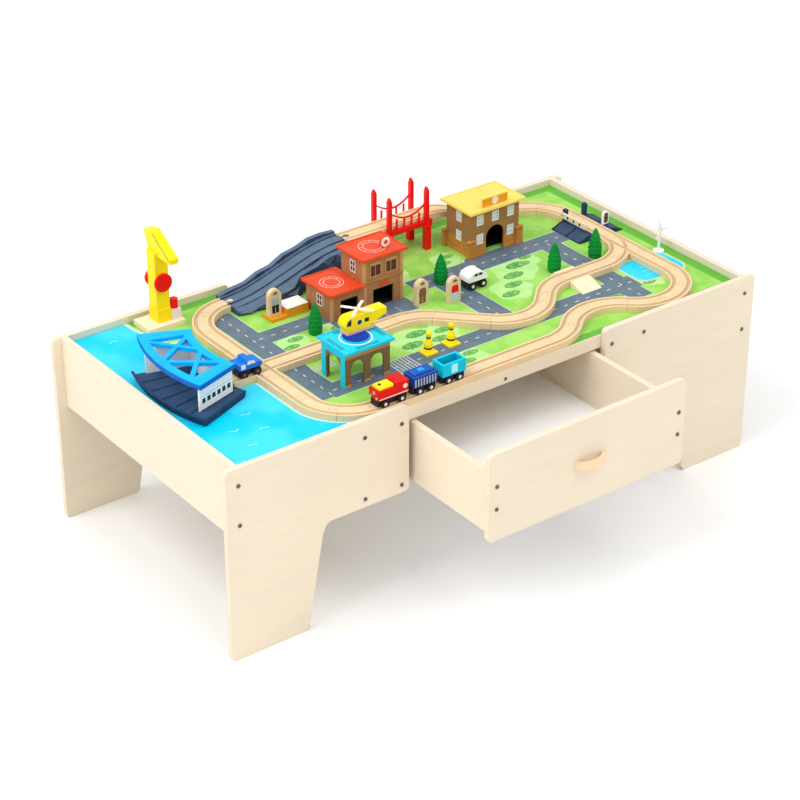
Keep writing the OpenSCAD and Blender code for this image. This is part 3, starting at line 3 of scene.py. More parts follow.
import bpy
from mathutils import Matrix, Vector


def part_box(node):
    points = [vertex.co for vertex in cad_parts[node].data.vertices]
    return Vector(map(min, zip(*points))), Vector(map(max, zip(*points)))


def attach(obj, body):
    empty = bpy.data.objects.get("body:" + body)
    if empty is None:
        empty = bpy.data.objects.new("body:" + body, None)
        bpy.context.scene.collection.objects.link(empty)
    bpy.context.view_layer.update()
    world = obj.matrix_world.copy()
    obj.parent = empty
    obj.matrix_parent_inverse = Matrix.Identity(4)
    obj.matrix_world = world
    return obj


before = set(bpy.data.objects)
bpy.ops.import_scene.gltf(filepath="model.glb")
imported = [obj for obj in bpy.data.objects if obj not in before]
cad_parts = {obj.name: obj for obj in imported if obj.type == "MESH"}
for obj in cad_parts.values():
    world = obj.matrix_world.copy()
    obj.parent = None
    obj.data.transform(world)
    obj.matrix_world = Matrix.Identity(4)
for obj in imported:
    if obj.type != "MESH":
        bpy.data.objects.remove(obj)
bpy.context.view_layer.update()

# Sizes are in millimetres from the middle of the table, with Z = 0 on top of the printed board.
FRAME_SHIFT = 116.75
BOARD_TOP = 360.0


def spot(x, y, z):
    """Place on the table, in millimetres, as a place in the frame, in metres."""
    return (x / 1000, (y + FRAME_SHIFT) / 1000, (z + BOARD_TOP) / 1000)


# Materials

# Inputs and output of a colour Mix node
MIX_SHARE, MIX_FIRST, MIX_SECOND, MIX_RESULT = 0, 6, 7, 2
SPECULAR, COAT_SHARE, COAT_ROUGH, BUMP_STRENGTH = 0.1, 0.3, 0.15, 0.6


class Look:
    """A node material; its coordinates are the frame's own, in metres."""

    def __init__(self, name):
        self.material = bpy.data.materials.new(name)
        self.material.use_nodes = True
        self.tree = self.material.node_tree
        self.shader = self.tree.nodes["Principled BSDF"]
        self.place = self.add("TexCoord").outputs["Object"]

    def add(self, kind, values=None, **settings):
        node = self.tree.nodes.new("ShaderNode" + kind)
        for key, value in settings.items():
            setattr(node, key, value)
        return self.fill(node, values or {})

    def put(self, socket, value):
        if isinstance(value, bpy.types.NodeSocket):
            self.tree.links.new(value, socket)
        elif isinstance(value, (tuple, list)) and len(value) == 3 and socket.type == "RGBA":
            socket.default_value = (*value, 1.0)
        else:
            socket.default_value = value

    def fill(self, node, values):
        for name, value in values.items():
            self.put(node.inputs[name], value)
        return node

    def stretched(self, stretch):
        return self.add("Mapping", {"Vector": self.place, "Scale": stretch}).outputs["Vector"]

    def noise(self, scale, detail=3.0, stretch=(1, 1, 1), bend=0.0):
        return self.add("TexNoise", {
            "Vector": self.stretched(stretch), "Scale": scale, "Detail": detail, "Distortion": bend,
        }).outputs["Fac"]

    def cells(self, scale, stretch=(1, 1, 1), feature="F1"):
        return self.add("TexVoronoi", {
            "Vector": self.stretched(stretch), "Scale": scale}, feature=feature).outputs["Distance"]

    def calc(self, operation, first, second=0.0):
        return self.add("Math", {0: first, 1: second}, operation=operation).outputs[0]

    def span(self, value, low, high, low_out=0.0, high_out=1.0):
        return self.add("MapRange", {
            "Value": value, "From Min": low, "From Max": high, "To Min": low_out, "To Max": high_out,
        }, interpolation_type="SMOOTHSTEP").outputs["Result"]

    def mix(self, share, first, second):
        values = {MIX_SHARE: share, MIX_FIRST: first, MIX_SECOND: second}
        return self.add("Mix", values, data_type="RGBA").outputs[MIX_RESULT]

    def normal(self):
        return self.add("NewGeometry").outputs["Normal"]

    def axis(self, name, vector=None):
        return self.add("SeparateXYZ", {0: vector or self.place}).outputs[name]

    def facing(self, name):
        return self.axis(name, self.normal())

    def height(self, low, high):
        """Share that goes from 0 to 1 between two heights above the board, in millimetres."""
        return self.span(self.axis("Z"), (BOARD_TOP + low) / 1000, (BOARD_TOP + high) / 1000)

    def worn_highlit_edges(self, base, color, radius, share):
        """Base colour with another one on the sharp edges of a piece, partly as wear and partly as a painted
        highlight, and the rounded normal.
        """
        bevel = self.add("Bevel", {"Radius": radius}, samples=4).outputs["Normal"]
        turn = self.add("VectorMath", {0: bevel, 1: self.normal()}, operation="DOT_PRODUCT")
        # Edges lighter: wear and a painted highlight
        edge_wear_highlight = self.span(turn.outputs["Value"], 0.995, 0.8)
        return self.mix(self.calc("MULTIPLY", edge_wear_highlight, share), base, color), bevel

    def done(self, color, rough, bump, depth, normal=None, coat=0.0, metal=0.0):
        relief = self.add("Bump", {"Strength": BUMP_STRENGTH, "Distance": depth, "Height": bump})
        if normal is not None:
            self.put(relief.inputs["Normal"], normal)
        self.fill(self.shader, {
            "Base Color": color, "Roughness": rough, "Metallic": metal, "Normal": relief.outputs["Normal"],
            "Specular IOR Level": SPECULAR, "Coat Weight": coat * COAT_SHARE, "Coat Roughness": COAT_ROUGH})
        return self.material


def tint(color, share):
    return tuple(max(0.0, min(1.0, part * share)) for part in color)


def wood(name, color, grain, ply=None, contrast=0.86, shine=0.42, groove_shade=False):
    """Pale wood with grain along one axis and, on cut edges, faint plies across another."""
    look = Look(name)
    stretch = tuple(0.06 if axis == grain else 1.0 for axis in "XYZ")
    fibre = look.noise(420, 4, stretch, 0.4)
    broad = look.noise(34, 3, tuple(part * 1.6 for part in stretch), 1.2)
    mottle = look.noise(6, 2)
    base = look.mix(look.span(fibre, 0.3, 0.75), color, tint(color, contrast))
    base = look.mix(look.span(broad, 0.42, 0.72, 0, 0.35), base, tint(color, contrast * 0.93))
    base = look.mix(look.span(mottle, 0.4, 0.7, 0, 0.3), base, tint(color, 1.06))
    if ply:
        layer = look.calc("PINGPONG", look.axis(ply), PLY_STEP)
        layer = look.span(layer, 0.75 * PLY_STEP, PLY_STEP)
        cut = look.span(look.calc("ABSOLUTE", look.facing(ply)), 0.4, 0.2)
        base = look.mix(look.calc("MULTIPLY", layer, cut), base, tint(color, 0.78))
    if groove_shade:
        # Painted shade: the floors of the grooves are darker
        low = look.calc("MULTIPLY", look.height(*GROOVE_TOP), look.height(*GROOVE_FLOOR))
        flat = look.span(look.facing("Z"), 0.7, 0.9)
        base = look.mix(look.calc("MULTIPLY", low, flat), base, tint(color, 0.74))
    # Lighter edges: wear and a painted highlight
    base, normal = look.worn_highlit_edges(base, tint(color, 1.12), 0.0009, 0.5)
    rough = look.span(fibre, 0.2, 0.8, shine, shine + 0.18)
    return look.done(base, rough, fibre, 0.00012, normal)


def paint(name, color, shine, coat, wear_highlight_color=None, marks=0.9, chassis_top=None):
    """Painted wood or moulded toy parts: brushed unevenness, rubbed edges that also carry a painted
    highlight, and small dents.

    Below chassis_top, in millimetres above the board, the piece is black.
    """
    look = Look(name)
    cloud = look.noise(38, 4)
    fine = look.noise(900, 2)
    base = look.mix(look.span(cloud, 0.35, 0.75), color, tint(color, marks))
    if chassis_top:
        base = look.mix(look.height(chassis_top + 0.2, chassis_top - 0.2), base, CHASSIS)
    # Colour of the edges: wear and a painted highlight
    wear_highlight_color = wear_highlight_color or tuple(part * 0.7 + 0.28 for part in color)
    base, normal = look.worn_highlit_edges(base, wear_highlight_color, 0.0007, look.span(look.noise(120, 3), 0.35, 0.6, 0.1, 0.75))
    rough = look.span(cloud, 0.25, 0.8, shine, shine + 0.2)
    return look.done(base, rough, look.calc("ADD", fine, cloud), 0.00015, normal, coat)


def metal(name, color):
    """Brushed metal with fine scratches along X."""
    look = Look(name)
    scratch = look.noise(600, 3, (0.2, 1, 1))
    base = look.mix(look.span(scratch, 0.3, 0.7), color, tint(color, 0.7))
    return look.done(base, look.span(scratch, 0.2, 0.8, 0.28, 0.5), scratch, 0.00005, metal=0.9)


def brick(name, color, base_color, joint_color, base_top):
    """Walls with courses of bricks drawn faintly, and a redder course near the ground."""
    look = Look(name)
    along = look.add("CombineXYZ", {
        0: look.calc("ADD", look.axis("X"), look.axis("Y")), 1: look.axis("Z")})
    course = look.add("TexBrick", {
        "Vector": along.outputs[0], "Color1": color, "Color2": tint(color, 0.86), "Mortar": joint_color,
        "Scale": 1.0, "Brick Width": 0.0085, "Row Height": 0.0042, "Mortar Size": 0.0004,
        "Mortar Smooth": 0.4}, offset=0.5)
    low = look.height(base_top, base_top - 2)
    base = look.mix(low, course.outputs["Color"], look.mix(0.35, base_color, course.outputs["Color"]))
    grime = look.noise(70, 4)
    base = look.mix(look.span(grime, 0.45, 0.75, 0, 0.4), base, tint(color, 0.72))
    # Lighter edges: wear and a painted highlight
    base, normal = look.worn_highlit_edges(base, tint(color, 1.5), 0.0006, 0.4)
    return look.done(base, look.span(grime, 0.3, 0.7, 0.5, 0.7), course.outputs["Fac"], 0.0002, normal)


PLY = (0.80, 0.695, 0.54)
CHASSIS = (0.02, 0.02, 0.022)
CHASSIS_TOP, CAR_CHASSIS_TOP = 26.3, 17.3
PLY_STEP = 0.0012
# Heights between which the painted shade on the floor of a track's grooves starts, from above and from below
GROOVE_TOP, GROOVE_FLOOR = (11.4, 10.6), (8.6, 8.9)
# Where the board's printed border starts, and its bare front edge, in metres from the middle
BORDER_X, BORDER_Y, FRONT_EDGE = (0.536, 0.539), (0.252, 0.255), (-0.2705, -0.2715)


def rock_look():
    """Cracked rock with painted light: lighter on top and where a facet leans back, and a darker painted
    shade on the sides.
    """
    look = Look("rock")
    color = (0.105, 0.157, 0.235)
    side = (0.05, 0.083, 0.15)
    crack = look.cells(95, (1, 1, 1.5), "DISTANCE_TO_EDGE")
    chunk = look.noise(60, 4)
    # Painted light: the sides take a darker, shaded copy of the rock colour, and the top and leaning facets
    # take lighter, lit copies
    top = look.span(look.facing("Z"), 0.75, 0.95)
    base = look.mix(look.span(chunk, 0.35, 0.7), tint(side, 0.75), tint(side, 1.4))
    base = look.mix(look.span(crack, 0.05, 0.0), base, tint(side, 0.4))
    base = look.mix(look.span(look.facing("Z"), 0.08, 0.45), base, tint(color, 1.15))
    base = look.mix(top, base, look.mix(look.span(chunk, 0.4, 0.7), tint(color, 0.92), tint(color, 1.1)))
    # Lighter edges: wear and a painted highlight
    base, normal = look.worn_highlit_edges(base, (0.25, 0.3, 0.36), 0.0012, 0.5)
    relief = look.calc("MULTIPLY", look.calc("ADD", crack, chunk), look.span(top, 0.0, 1.0, 1.0, 0.1))
    return look.done(base, look.span(chunk, 0.3, 0.7, 0.4, 0.6), relief, 0.0022, normal)


def print_look(name, color, second, scale, border=None):
    """Printed board: two tones of one colour with fine printing dots and light scuffs."""
    look = Look(name)
    patch = look.noise(scale, 3)
    dots = look.cells(1500)
    scuff = look.noise(140, 3, (0.1, 1, 1))
    base = look.mix(look.span(patch, 0.42, 0.6), color, second)
    base = look.mix(look.span(dots, 0.2, 0.6, 0.0, 0.12), base, tint(color, 0.75))
    if border:
        far_x = look.span(look.calc("ABSOLUTE", look.axis("X")), *BORDER_X)
        side = look.calc("SUBTRACT", look.axis("Y"), FRAME_SHIFT / 1000)
        far_y = look.span(look.calc("ABSOLUTE", side), *BORDER_Y)
        base = look.mix(look.calc("MAXIMUM", far_x, far_y), base, border)
        base = look.mix(look.span(look.facing("Z"), 0.7, 0.5), base, PLY)
        base = look.mix(look.span(side, *FRONT_EDGE), base, PLY)
    base = look.mix(look.span(scuff, 0.62, 0.8, 0.0, 0.25), base, tuple(part * 0.8 + 0.15 for part in color))
    return look.done(base, look.span(patch, 0.3, 0.7, 0.34, 0.46), scuff, 0.00003)


WOODS = {
    "ply_front": (PLY, "X", "Y", 0.96),
    "ply_side": (PLY, "Y", "X", 0.96),
    "track_wood": ((0.82, 0.61, 0.36), "X", None, 0.88, 0.45, True),
    "pale_wood": ((0.8, 0.62, 0.38), "X", "Z", 0.85),
    "ramp_wood": ((0.9, 0.75, 0.52), "X", "Z", 0.9),
    "handle_wood": ((0.92, 0.68, 0.44), "X", None, 0.85),
    "pink_wood": ((0.74, 0.47, 0.38), "X", None, 0.9),
    "block_wood": ((0.8, 0.71, 0.67), "X", None, 0.93),
}
PAINTS = {
    "white": ((0.86, 0.86, 0.84), 0.35, 0.15, (0.7, 0.66, 0.58), 0.95),
    "hub_white": ((0.74, 0.7, 0.62), 0.4, 0.1, (0.8, 0.78, 0.72)),
    "hub_brown": ((0.22, 0.1, 0.05), 0.45, 0.1, (0.36, 0.2, 0.1)),
    "cream": ((0.83, 0.74, 0.56), 0.45, 0.1),
    "drawer_white": ((0.96, 0.96, 0.96), 0.5, 0.0, (0.9, 0.9, 0.9), 0.97),
    "black": ((0.016, 0.016, 0.018), 0.35, 0.1, (0.08, 0.08, 0.085)),
    "dark_glass": ((0.022, 0.03, 0.04), 0.12, 0.5, (0.1, 0.1, 0.12)),
    "pale_glass": ((0.6, 0.64, 0.66), 0.2, 0.4, (0.75, 0.77, 0.78)),
    "brown_glass": ((0.11, 0.035, 0.022), 0.22, 0.4, (0.2, 0.1, 0.06)),
    "red": ((0.86, 0.008, 0.006), 0.25, 0.4, (0.88, 0.06, 0.04)),
    "yellow": ((1.0, 0.73, 0.008), 0.3, 0.3, (1.0, 0.78, 0.06), 0.96),
    "navy": ((0.022, 0.045, 0.12), 0.35, 0.2, (0.12, 0.17, 0.28)),
    "slate": ((0.014, 0.045, 0.105), 0.45, 0.1, (0.09, 0.14, 0.22)),
    "ramp_slate": ((0.048, 0.075, 0.15), 0.45, 0.1, (0.14, 0.19, 0.28)),
    "deck_slate": ((0.032, 0.072, 0.15), 0.45, 0.1, (0.1, 0.16, 0.25)),
    "pad_blue": ((0.0, 0.042, 0.4), 0.3, 0.2, (0.08, 0.14, 0.5)),
    "deep_sky": ((0.0, 0.12, 0.52), 0.32, 0.2, (0.02, 0.25, 0.7)),
    "sky": ((0.0, 0.44, 1.0), 0.38, 0.1, (0.0, 0.5, 1.0)),
    "pale_blue": ((0.42, 0.64, 0.82), 0.4, 0.1),
    "turquoise": ((0.008, 0.61, 0.79), 0.32, 0.3, (0.12, 0.72, 0.86)),
    "orange": ((0.8, 0.31, 0.012), 0.35, 0.2, (0.86, 0.46, 0.12)),
    "tan": ((0.56, 0.31, 0.13), 0.45, 0.1, (0.68, 0.46, 0.24)),
    "rust": ((0.57, 0.23, 0.045), 0.45, 0.1, (0.62, 0.36, 0.15)),
    "salmon": ((0.74, 0.072, 0.022), 0.38, 0.15, (0.8, 0.22, 0.12)),
    "gold": ((0.93, 0.68, 0.15), 0.38, 0.15, (0.94, 0.78, 0.34), 0.97),
    "gold_line": ((0.84, 0.55, 0.1), 0.4, 0.1),
    "leaf": ((0.002, 0.25, 0.035), 0.5, 0.05, (0.02, 0.36, 0.07), 0.66),
    "truck_blue": ((0.002, 0.17, 0.7), 0.28, 0.4, (0.06, 0.3, 0.78), 0.9, CHASSIS_TOP),
    "engine_red": ((0.68, 0.006, 0.004), 0.3, 0.2, (0.8, 0.08, 0.05), 0.92, CHASSIS_TOP),
    "wagon_navy": ((0.012, 0.04, 0.24), 0.3, 0.3, (0.1, 0.18, 0.4), 0.9, CHASSIS_TOP),
    "wagon_aqua": ((0.0, 0.55, 0.76), 0.3, 0.3, (0.08, 0.66, 0.82), 0.9, CHASSIS_TOP),
    "wagon_roof": ((0.012, 0.085, 0.42), 0.3, 0.3, (0.1, 0.25, 0.6)),
    "slat_gray": ((0.42, 0.44, 0.5), 0.4, 0.1, (0.6, 0.62, 0.66)),
    "car_white": ((0.86, 0.86, 0.86), 0.25, 0.4, (0.78, 0.77, 0.73), 0.95, CAR_CHASSIS_TOP),
}
BRICKS = {
    "fire_brick": ((0.45, 0.215, 0.085), (0.42, 0.16, 0.07), (0.32, 0.17, 0.08), 14),
    "hall_brick": ((0.37, 0.19, 0.07), (0.62, 0.24, 0.035), (0.27, 0.14, 0.05), 30),
    "port_brick": ((0.27, 0.15, 0.08), (0.27, 0.15, 0.08), (0.16, 0.09, 0.055), 0),
}
PRINTS = {
    "grass_print": ((0.27, 0.6, 0.085), (0.37, 0.69, 0.13), 24, (0.12, 0.42, 0.045)),
    "water_print": ((0.0, 0.58, 0.88), (0.05, 0.66, 0.91), 9),
    "sand_print": ((0.66, 0.6, 0.3), (0.74, 0.68, 0.4), 30),
    "road_print": ((0.115, 0.165, 0.205), (0.14, 0.19, 0.235), 40),
    "verge_print": ((0.58, 0.72, 0.56), (0.64, 0.77, 0.62), 60),
    "pale_print": ((0.78, 0.8, 0.78), (0.86, 0.87, 0.85), 60),
    "mark_print": ((0.5, 0.54, 0.56), (0.58, 0.61, 0.62), 60),
    "ring_print": ((0.86, 0.52, 0.44), (0.88, 0.58, 0.5), 60),
    "bush_print": ((0.06, 0.3, 0.05), (0.1, 0.4, 0.07), 70),
    "lawn_print": ((0.43, 0.75, 0.24), (0.49, 0.78, 0.3), 50),
    "ripple_print": ((0.45, 0.84, 0.94), (0.55, 0.88, 0.95), 50),
}
LOOKS = {"rock": rock_look()}
for name, color in (("screw_steel", (0.20, 0.19, 0.18)), ("hub_silver", (0.75, 0.75, 0.76))):
    LOOKS[name] = metal(name, color)
for kind, table in ((wood, WOODS), (paint, PAINTS), (brick, BRICKS), (print_look, PRINTS)):
    for name, values in table.items():
        LOOKS[name] = kind(name, *values)

WHEELS = [name + end for name in ("engine", "box_wagon", "open_wagon", "truck", "car")
          for end in ("_front_wheels", "_rear_wheels")]
dress = {
    "ply_front": "front_left_leg front_right_leg back_left_leg back_right_leg "
                 "drawer_front drawer_back support_rails",
    "ply_side": "end_panels cross_panels drawer_sides",
    "grass_print": "play_board",
    "drawer_white": "drawer_bottom",
    "handle_wood": "drawer_handle",
    "screw_steel": "frame_screws drawer_screws",
    "track_wood": "straight_tracks curved_tracks junction_tracks high_tracks",
    "pale_wood": "figures",
    "ramp_wood": "road_ramps crossing_gate crane_base",
    "rock": "mountain_ramp",
    "red": "bridge_frame crane_winch crane_load",
    "slate": "level_crossing ferry_hull",
    "fire_brick": "fire_station_walls",
    "salmon": "fire_station_roofs",
    "hall_brick": "town_hall_walls",
    "gold": "town_hall_roof",
    "port_brick": "heliport_walls",
    "turquoise": "heliport_roof",
    "yellow": "helicopter_body crane_tower traffic_cones",
    "white": "helicopter_rotor turbine_mast turbine_rotor ferry_walls",
    "sky": "ferry_roof",
    "leaf": "trees",
    "orange": "platform",
    "engine_red": "engine_body",
    "wagon_navy": "box_wagon_body",
    "wagon_aqua": "open_wagon_body",
    "truck_blue": "truck_body",
    "car_white": "car_body",
    "black": " ".join(WHEELS),
}
for material, nodes in dress.items():
    for name in nodes.split():
        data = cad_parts[name].data
        data.materials.clear()
        data.materials.append(LOOKS[material])


# Meshes

def new_object(name, data):
    item = bpy.data.objects.new(name, data)
    bpy.context.scene.collection.objects.link(item)
    return item


def placed(axis, depth, first, second):
    """Point with one coordinate along an axis and two across it."""
    return {"x": (depth, first, second), "y": (first, depth, second), "z": (first, second, depth)}[axis]


class Shape:
    """Collects solids and flat patches of one material, placed from an origin, into one mesh."""

    def __init__(self, origin=(0, 0, 0)):
        self.origin = origin
        self.points = []
        self.faces = []

    def grow(self, points, faces):
        first = len(self.points)
        self.points += [spot(*(start + part for start, part in zip(self.origin, point))) for point in points]
        self.faces += [[first + index for index in face] for face in faces]
        return self

    def loft(self, rings):
        """Skin over rings of equally many points, with both ends filled."""
        count = len(rings[0])
        points = [point for ring in rings for point in ring]
        faces = []
        for low in range(0, (len(rings) - 1) * count, count):
            for index in range(count):
                after = (index + 1) % count
                faces.append((low + index, low + after, low + count + after, low + count + index))
        faces.append(tuple(reversed(range(count))))
        faces.append(tuple(range((len(rings) - 1) * count, len(rings) * count)))
        return self.grow(points, faces)

    def box(self, low, high):
        return self.prism(rect(low[:2], high[:2]), "z", low[2], high[2])

    def prism(self, outline, axis, start, stop):
        return self.loft([[placed(axis, depth, *pair) for pair in outline] for depth in (start, stop)])

    def pair(self, outline, half, out, axis="y"):
        """Thin plates on two opposite faces, each half a width from the middle."""
        self.prism(outline, axis, -half - out, SINK - half)
        self.prism(outline, axis, half - SINK, half + out)

    def lathe(self, profile, middle, axis="z", count=28):
        """Profile pairs are radius and distance along the axis from the middle."""
        rings = []
        for radius, rise in profile:
            turns = [2 * math.pi * index / count for index in range(count)]
            ring = [placed(axis, rise, radius * math.cos(turn), radius * math.sin(turn)) for turn in turns]
            rings.append([tuple(start + part for start, part in zip(middle, point)) for point in ring])
        return self.loft(rings)

    def flat(self, outline, z):
        return self.grow([(x, y, z) for x, y in outline], [tuple(range(len(outline)))])

    def strip(self, path, half, z):
        """Flat ribbon along a path."""
        sides = []
        for index, (x, y) in enumerate(path):
            before = path[max(index - 1, 0)]
            after = path[min(index + 1, len(path) - 1)]
            run = Vector((after[0] - before[0], after[1] - before[1])).normalized()
            sides.append(((x - run.y * half, y + run.x * half, z), (x + run.y * half, y - run.x * half, z)))
        points = [point for pair in sides for point in pair]
        faces = [(2 * i, 2 * i + 1, 2 * i + 3, 2 * i + 2) for i in range(len(path) - 1)]
        return self.grow(points, faces)

    def frame(self, axis, face, middle, size, bar, reach):
        """Rectangular window frame on a wall face; middle and size are along the wall and upward."""
        across, up = middle
        half, rise = size[0] / 2 + bar, size[1] / 2 + bar
        for low, high in rim((across - half, up - rise), (across + half, up + rise), bar):
            self.plate(axis, face, low, high, reach)

    def plate(self, axis, face, low, high, reach):
        """Thin plate standing out of a wall face towards -X or -Y."""
        if axis == "y":
            return self.box((low[0], face - reach, low[1]), (high[0], face + BITE, high[1]))
        return self.box((face - reach, low[0], low[1]), (face + BITE, high[0], high[1]))

    def make(self, name, material, bevel=0.0, body="table", smooth=False):
        data = bpy.data.meshes.new(name)
        data.from_pydata(self.points, [], self.faces)
        data.validate()
        data.update()
        for face in data.polygons:
            face.use_smooth = smooth
        data.materials.append(LOOKS[material])
        item = new_object(name, data)
        if bevel:
            change = item.modifiers.new("bevel", "BEVEL")
            change.width = bevel / 1000
            change.segments = 3
            change.limit_method = "ANGLE"
            change.angle_limit = math.radians(40)
        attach(item, body)


def shapes(count, origin=(0, 0, 0)):
    return [Shape(origin) for _ in range(count)]


def polar(middle, radius, turn):
    """Point at a distance from a middle, with the angle in degrees."""
    angle = math.radians(turn)
    return (middle[0] + radius * math.cos(angle), middle[1] + radius * math.sin(angle))


def arc(middle, radius, start, stop, count=16):
    return [polar(middle, radius, start + (stop - start) * index / count) for index in range(count + 1)]


def rect(low, high):
    return [low, (high[0], low[1]), high, (low[0], high[1])]


def rim(low, high, width):
    """Corners of four bars along the edges of a rectangle."""
    (x0, y0), (x1, y1) = low, high
    return [((x0, y0), (x1, y0 + width)), ((x0, y1 - width), (x1, y1)),
            ((x0, y0 + width), (x0 + width, y1 - width)), ((x1 - width, y0 + width), (x1, y1 - width))]


def rounded(low, high, radius, count=5):
    """Rectangle with round corners."""
    (x0, y0), (x1, y1) = low, high
    corners = [((x1 - radius, y1 - radius), 0), ((x0 + radius, y1 - radius), 90),
               ((x0 + radius, y0 + radius), 180), ((x1 - radius, y0 + radius), 270)]
    return [point for middle, start in corners for point in arc(middle, radius, start, start + 90, count)]


def blob(middle, radius, waves, depth, count=48, lean=0.0, squash=1.0):
    """Round or oval patch with a wavy edge."""
    points = []
    for index in range(count):
        turn = 2 * math.pi * index / count
        reach = radius * (1 + depth * math.sin(waves * turn + lean))
        points.append((middle[0] + reach * math.cos(turn), middle[1] + reach * math.sin(turn) * squash))
    return points


class Extent:
    """Box round a CAD node at rest, in millimetres from the middle of the table."""

    def __init__(self, node):
        (x0, y0, z0), (x1, y1, z1) = [[part * 1000 for part in corner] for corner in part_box(node)]
        self.x0, self.x1 = x0, x1
        self.y0, self.y1 = y0 - FRAME_SHIFT, y1 - FRAME_SHIFT
        self.z0, self.z1 = z0 - BOARD_TOP, z1 - BOARD_TOP
        self.x, self.y, self.z = (x0 + x1) / 2, (self.y0 + self.y1) / 2, (self.z0 + self.z1) / 2
        # Where the details of a vehicle are measured from, to a tenth of a millimetre
        self.start = (round(x0, 1), round(self.y, 1), 0)
        self.half = (y1 - y0) / 2


# How far thin pieces and wall plates reach into what carries them
SINK, BITE = 0.1, 0.05
# Gap between trim and what stands above or below it
GAP = 0.3


def border(shape, low, high, width, z0, z1):
    """Raised rim along the four edges of a rectangle."""
    for (x0, y0), (x1, y1) in rim(low, high, width):
        shape.box((x0, y0, z0), (x1, y1, z1))


def sash(bars, panes, axis, face, middle, size, bar=1.8, reach=1.0):
    """Window with a frame, a cross of glazing bars and a pane."""
    across, up = middle
    half, rise = size[0] / 2, size[1] / 2
    thin = bar * 0.4
    bars.frame(axis, face, middle, size, bar, reach)
    bars.plate(axis, face, (across - thin, up - rise), (across + thin, up + rise), reach * 0.8)
    bars.plate(axis, face, (across - half, up - thin), (across + half, up + thin), reach * 0.7)
    panes.plate(axis, face, (across - half, up - rise), (across + half, up + rise), reach * 0.4)


# Printed board

board = Extent("play_board")
# Heights of the printed layers above the board, and the step between patches of one layer
LAWN_Z, BUSH_Z, STROKE_Z, PATCH_STEP = 0.08, 0.16, 0.24, 0.002
VERGE_Z, YARD_EDGE_Z, ROAD_Z, YARD_Z, DASH_Z, MARK_Z = 0.1, 0.135, 0.22, 0.255, 0.34, 0.35
SAND_Z, SHALLOW_Z, WATER_Z, RIPPLE_Z = 0.1, 0.2, 0.3, 0.4
POND_EDGE_Z, POND_LINE_Z = 0.26, 0.36
# Track that the water follows: its left line, the curve in front and the arm behind
LEFT_LINE, TRACK_HALF, ARM_Y = -350, 20, -46
CURVE, CURVE_RADIUS, SHORE_GAP = (-262, -163), 88, 4


def coast(y, shift=0.0):
    """Right end of the water: along the tracks in front, wavy behind them."""
    edge = CURVE_RADIUS + TRACK_HALF
    if y > ARM_Y:
        back = (y - ARM_Y) / (board.y1 - ARM_Y)
        return LEFT_LINE - 58 - 44 * back ** 2 + 7 * math.sin(y / 34) + 3 * math.sin(y / 15 + 1) + shift
    if y > CURVE[1]:
        return LEFT_LINE - TRACK_HALF - SHORE_GAP + shift
    return CURVE[0] - math.sqrt(max(0, edge ** 2 - (y - CURVE[1]) ** 2)) - SHORE_GAP + shift


SHORE_STEPS = 120
rows = [board.y0 + 1 + (board.y1 - board.y0 - 2) * index / SHORE_STEPS for index in range(SHORE_STEPS + 1)]
for name, shift, z, material in (
        ("sand_edge", 6, SAND_Z, "sand_print"), ("shallow_water", 2, SHALLOW_Z, "ripple_print"),
        ("water", -2, WATER_Z, "water_print")):
    shore = [(coast(y, shift), y) for y in rows]
    Shape().flat(shore + [(board.x0 + 0.6, rows[-1]), (board.x0 + 0.6, rows[0])], z).make(name, material)

RIPPLES = 15
ripples = Shape()
for index in range(RIPPLES):
    x = -548 + (index * 47) % 118
    y = -252 + (index * 89) % 500
    wave = [(x + 3 * step, y + 2.4 * math.sin(step * 1.1 + index)) for step in range(7)]
    ripples.strip(wave, 0.6, RIPPLE_Z)
ripples.make("ripples", "ripple_print")

# Two ends and half the width of each road
ROADS = [
    ([(-292, 196), (-292, -168)], 24), ([(-292, 78), (-140, 78)], 22), ([(60, 78), (430, 78)], 23),
    ([(122, 98), (122, -172)], 25), ([(-292, -150), (412, -150)], 23), ([(380, 78), (380, -208)], 24),
]
YARDS = (((-146, 2), (28, 60)), ((203, 52), (352, 112)))
DASH, DASH_STEP, DASH_START = 9, 26, 10
verges, surfaces, dashes = shapes(3)
for order, (path, half) in enumerate(ROADS):
    verges.strip(path, half + 1.3, VERGE_Z + order * 2 * PATCH_STEP)
    surfaces.strip(path, half, ROAD_Z + order * 2 * PATCH_STEP)
    (x0, y0), (x1, y1) = path
    length = math.hypot(x1 - x0, y1 - y0)
    run = ((x1 - x0) / length, (y1 - y0) / length)
    for step in range(int(length // DASH_STEP)):
        near = DASH_START + step * DASH_STEP
        dashes.strip([(x0 + run[0] * part, y0 + run[1] * part) for part in (near, near + DASH)], 0.8, DASH_Z)
for low, high in YARDS:
    verges.flat(rounded(low, high, 9), YARD_EDGE_Z)
    surfaces.flat(rounded((low[0] + 2, low[1] + 2), (high[0] - 2, high[1] - 2), 8), YARD_Z)
verges.make("road_edges", "verge_print")
surfaces.make("roads", "road_print")
dashes.make("road_dashes", "pale_print")

marks = Shape()
for step in range(7):
    marks.strip([(-268 + 7 * step, -82), (-268 + 7 * step, -62)], 1.6, MARK_Z)
    marks.strip([(-150 + 7 * step, -172), (-150 + 7 * step, -128)], 1.6, MARK_Z)
for step in range(5):
    marks.strip([(-132 + 30 * step, 8), (-132 + 30 * step, 34)], 0.8, MARK_Z)
marks.make("road_marks", "mark_print")

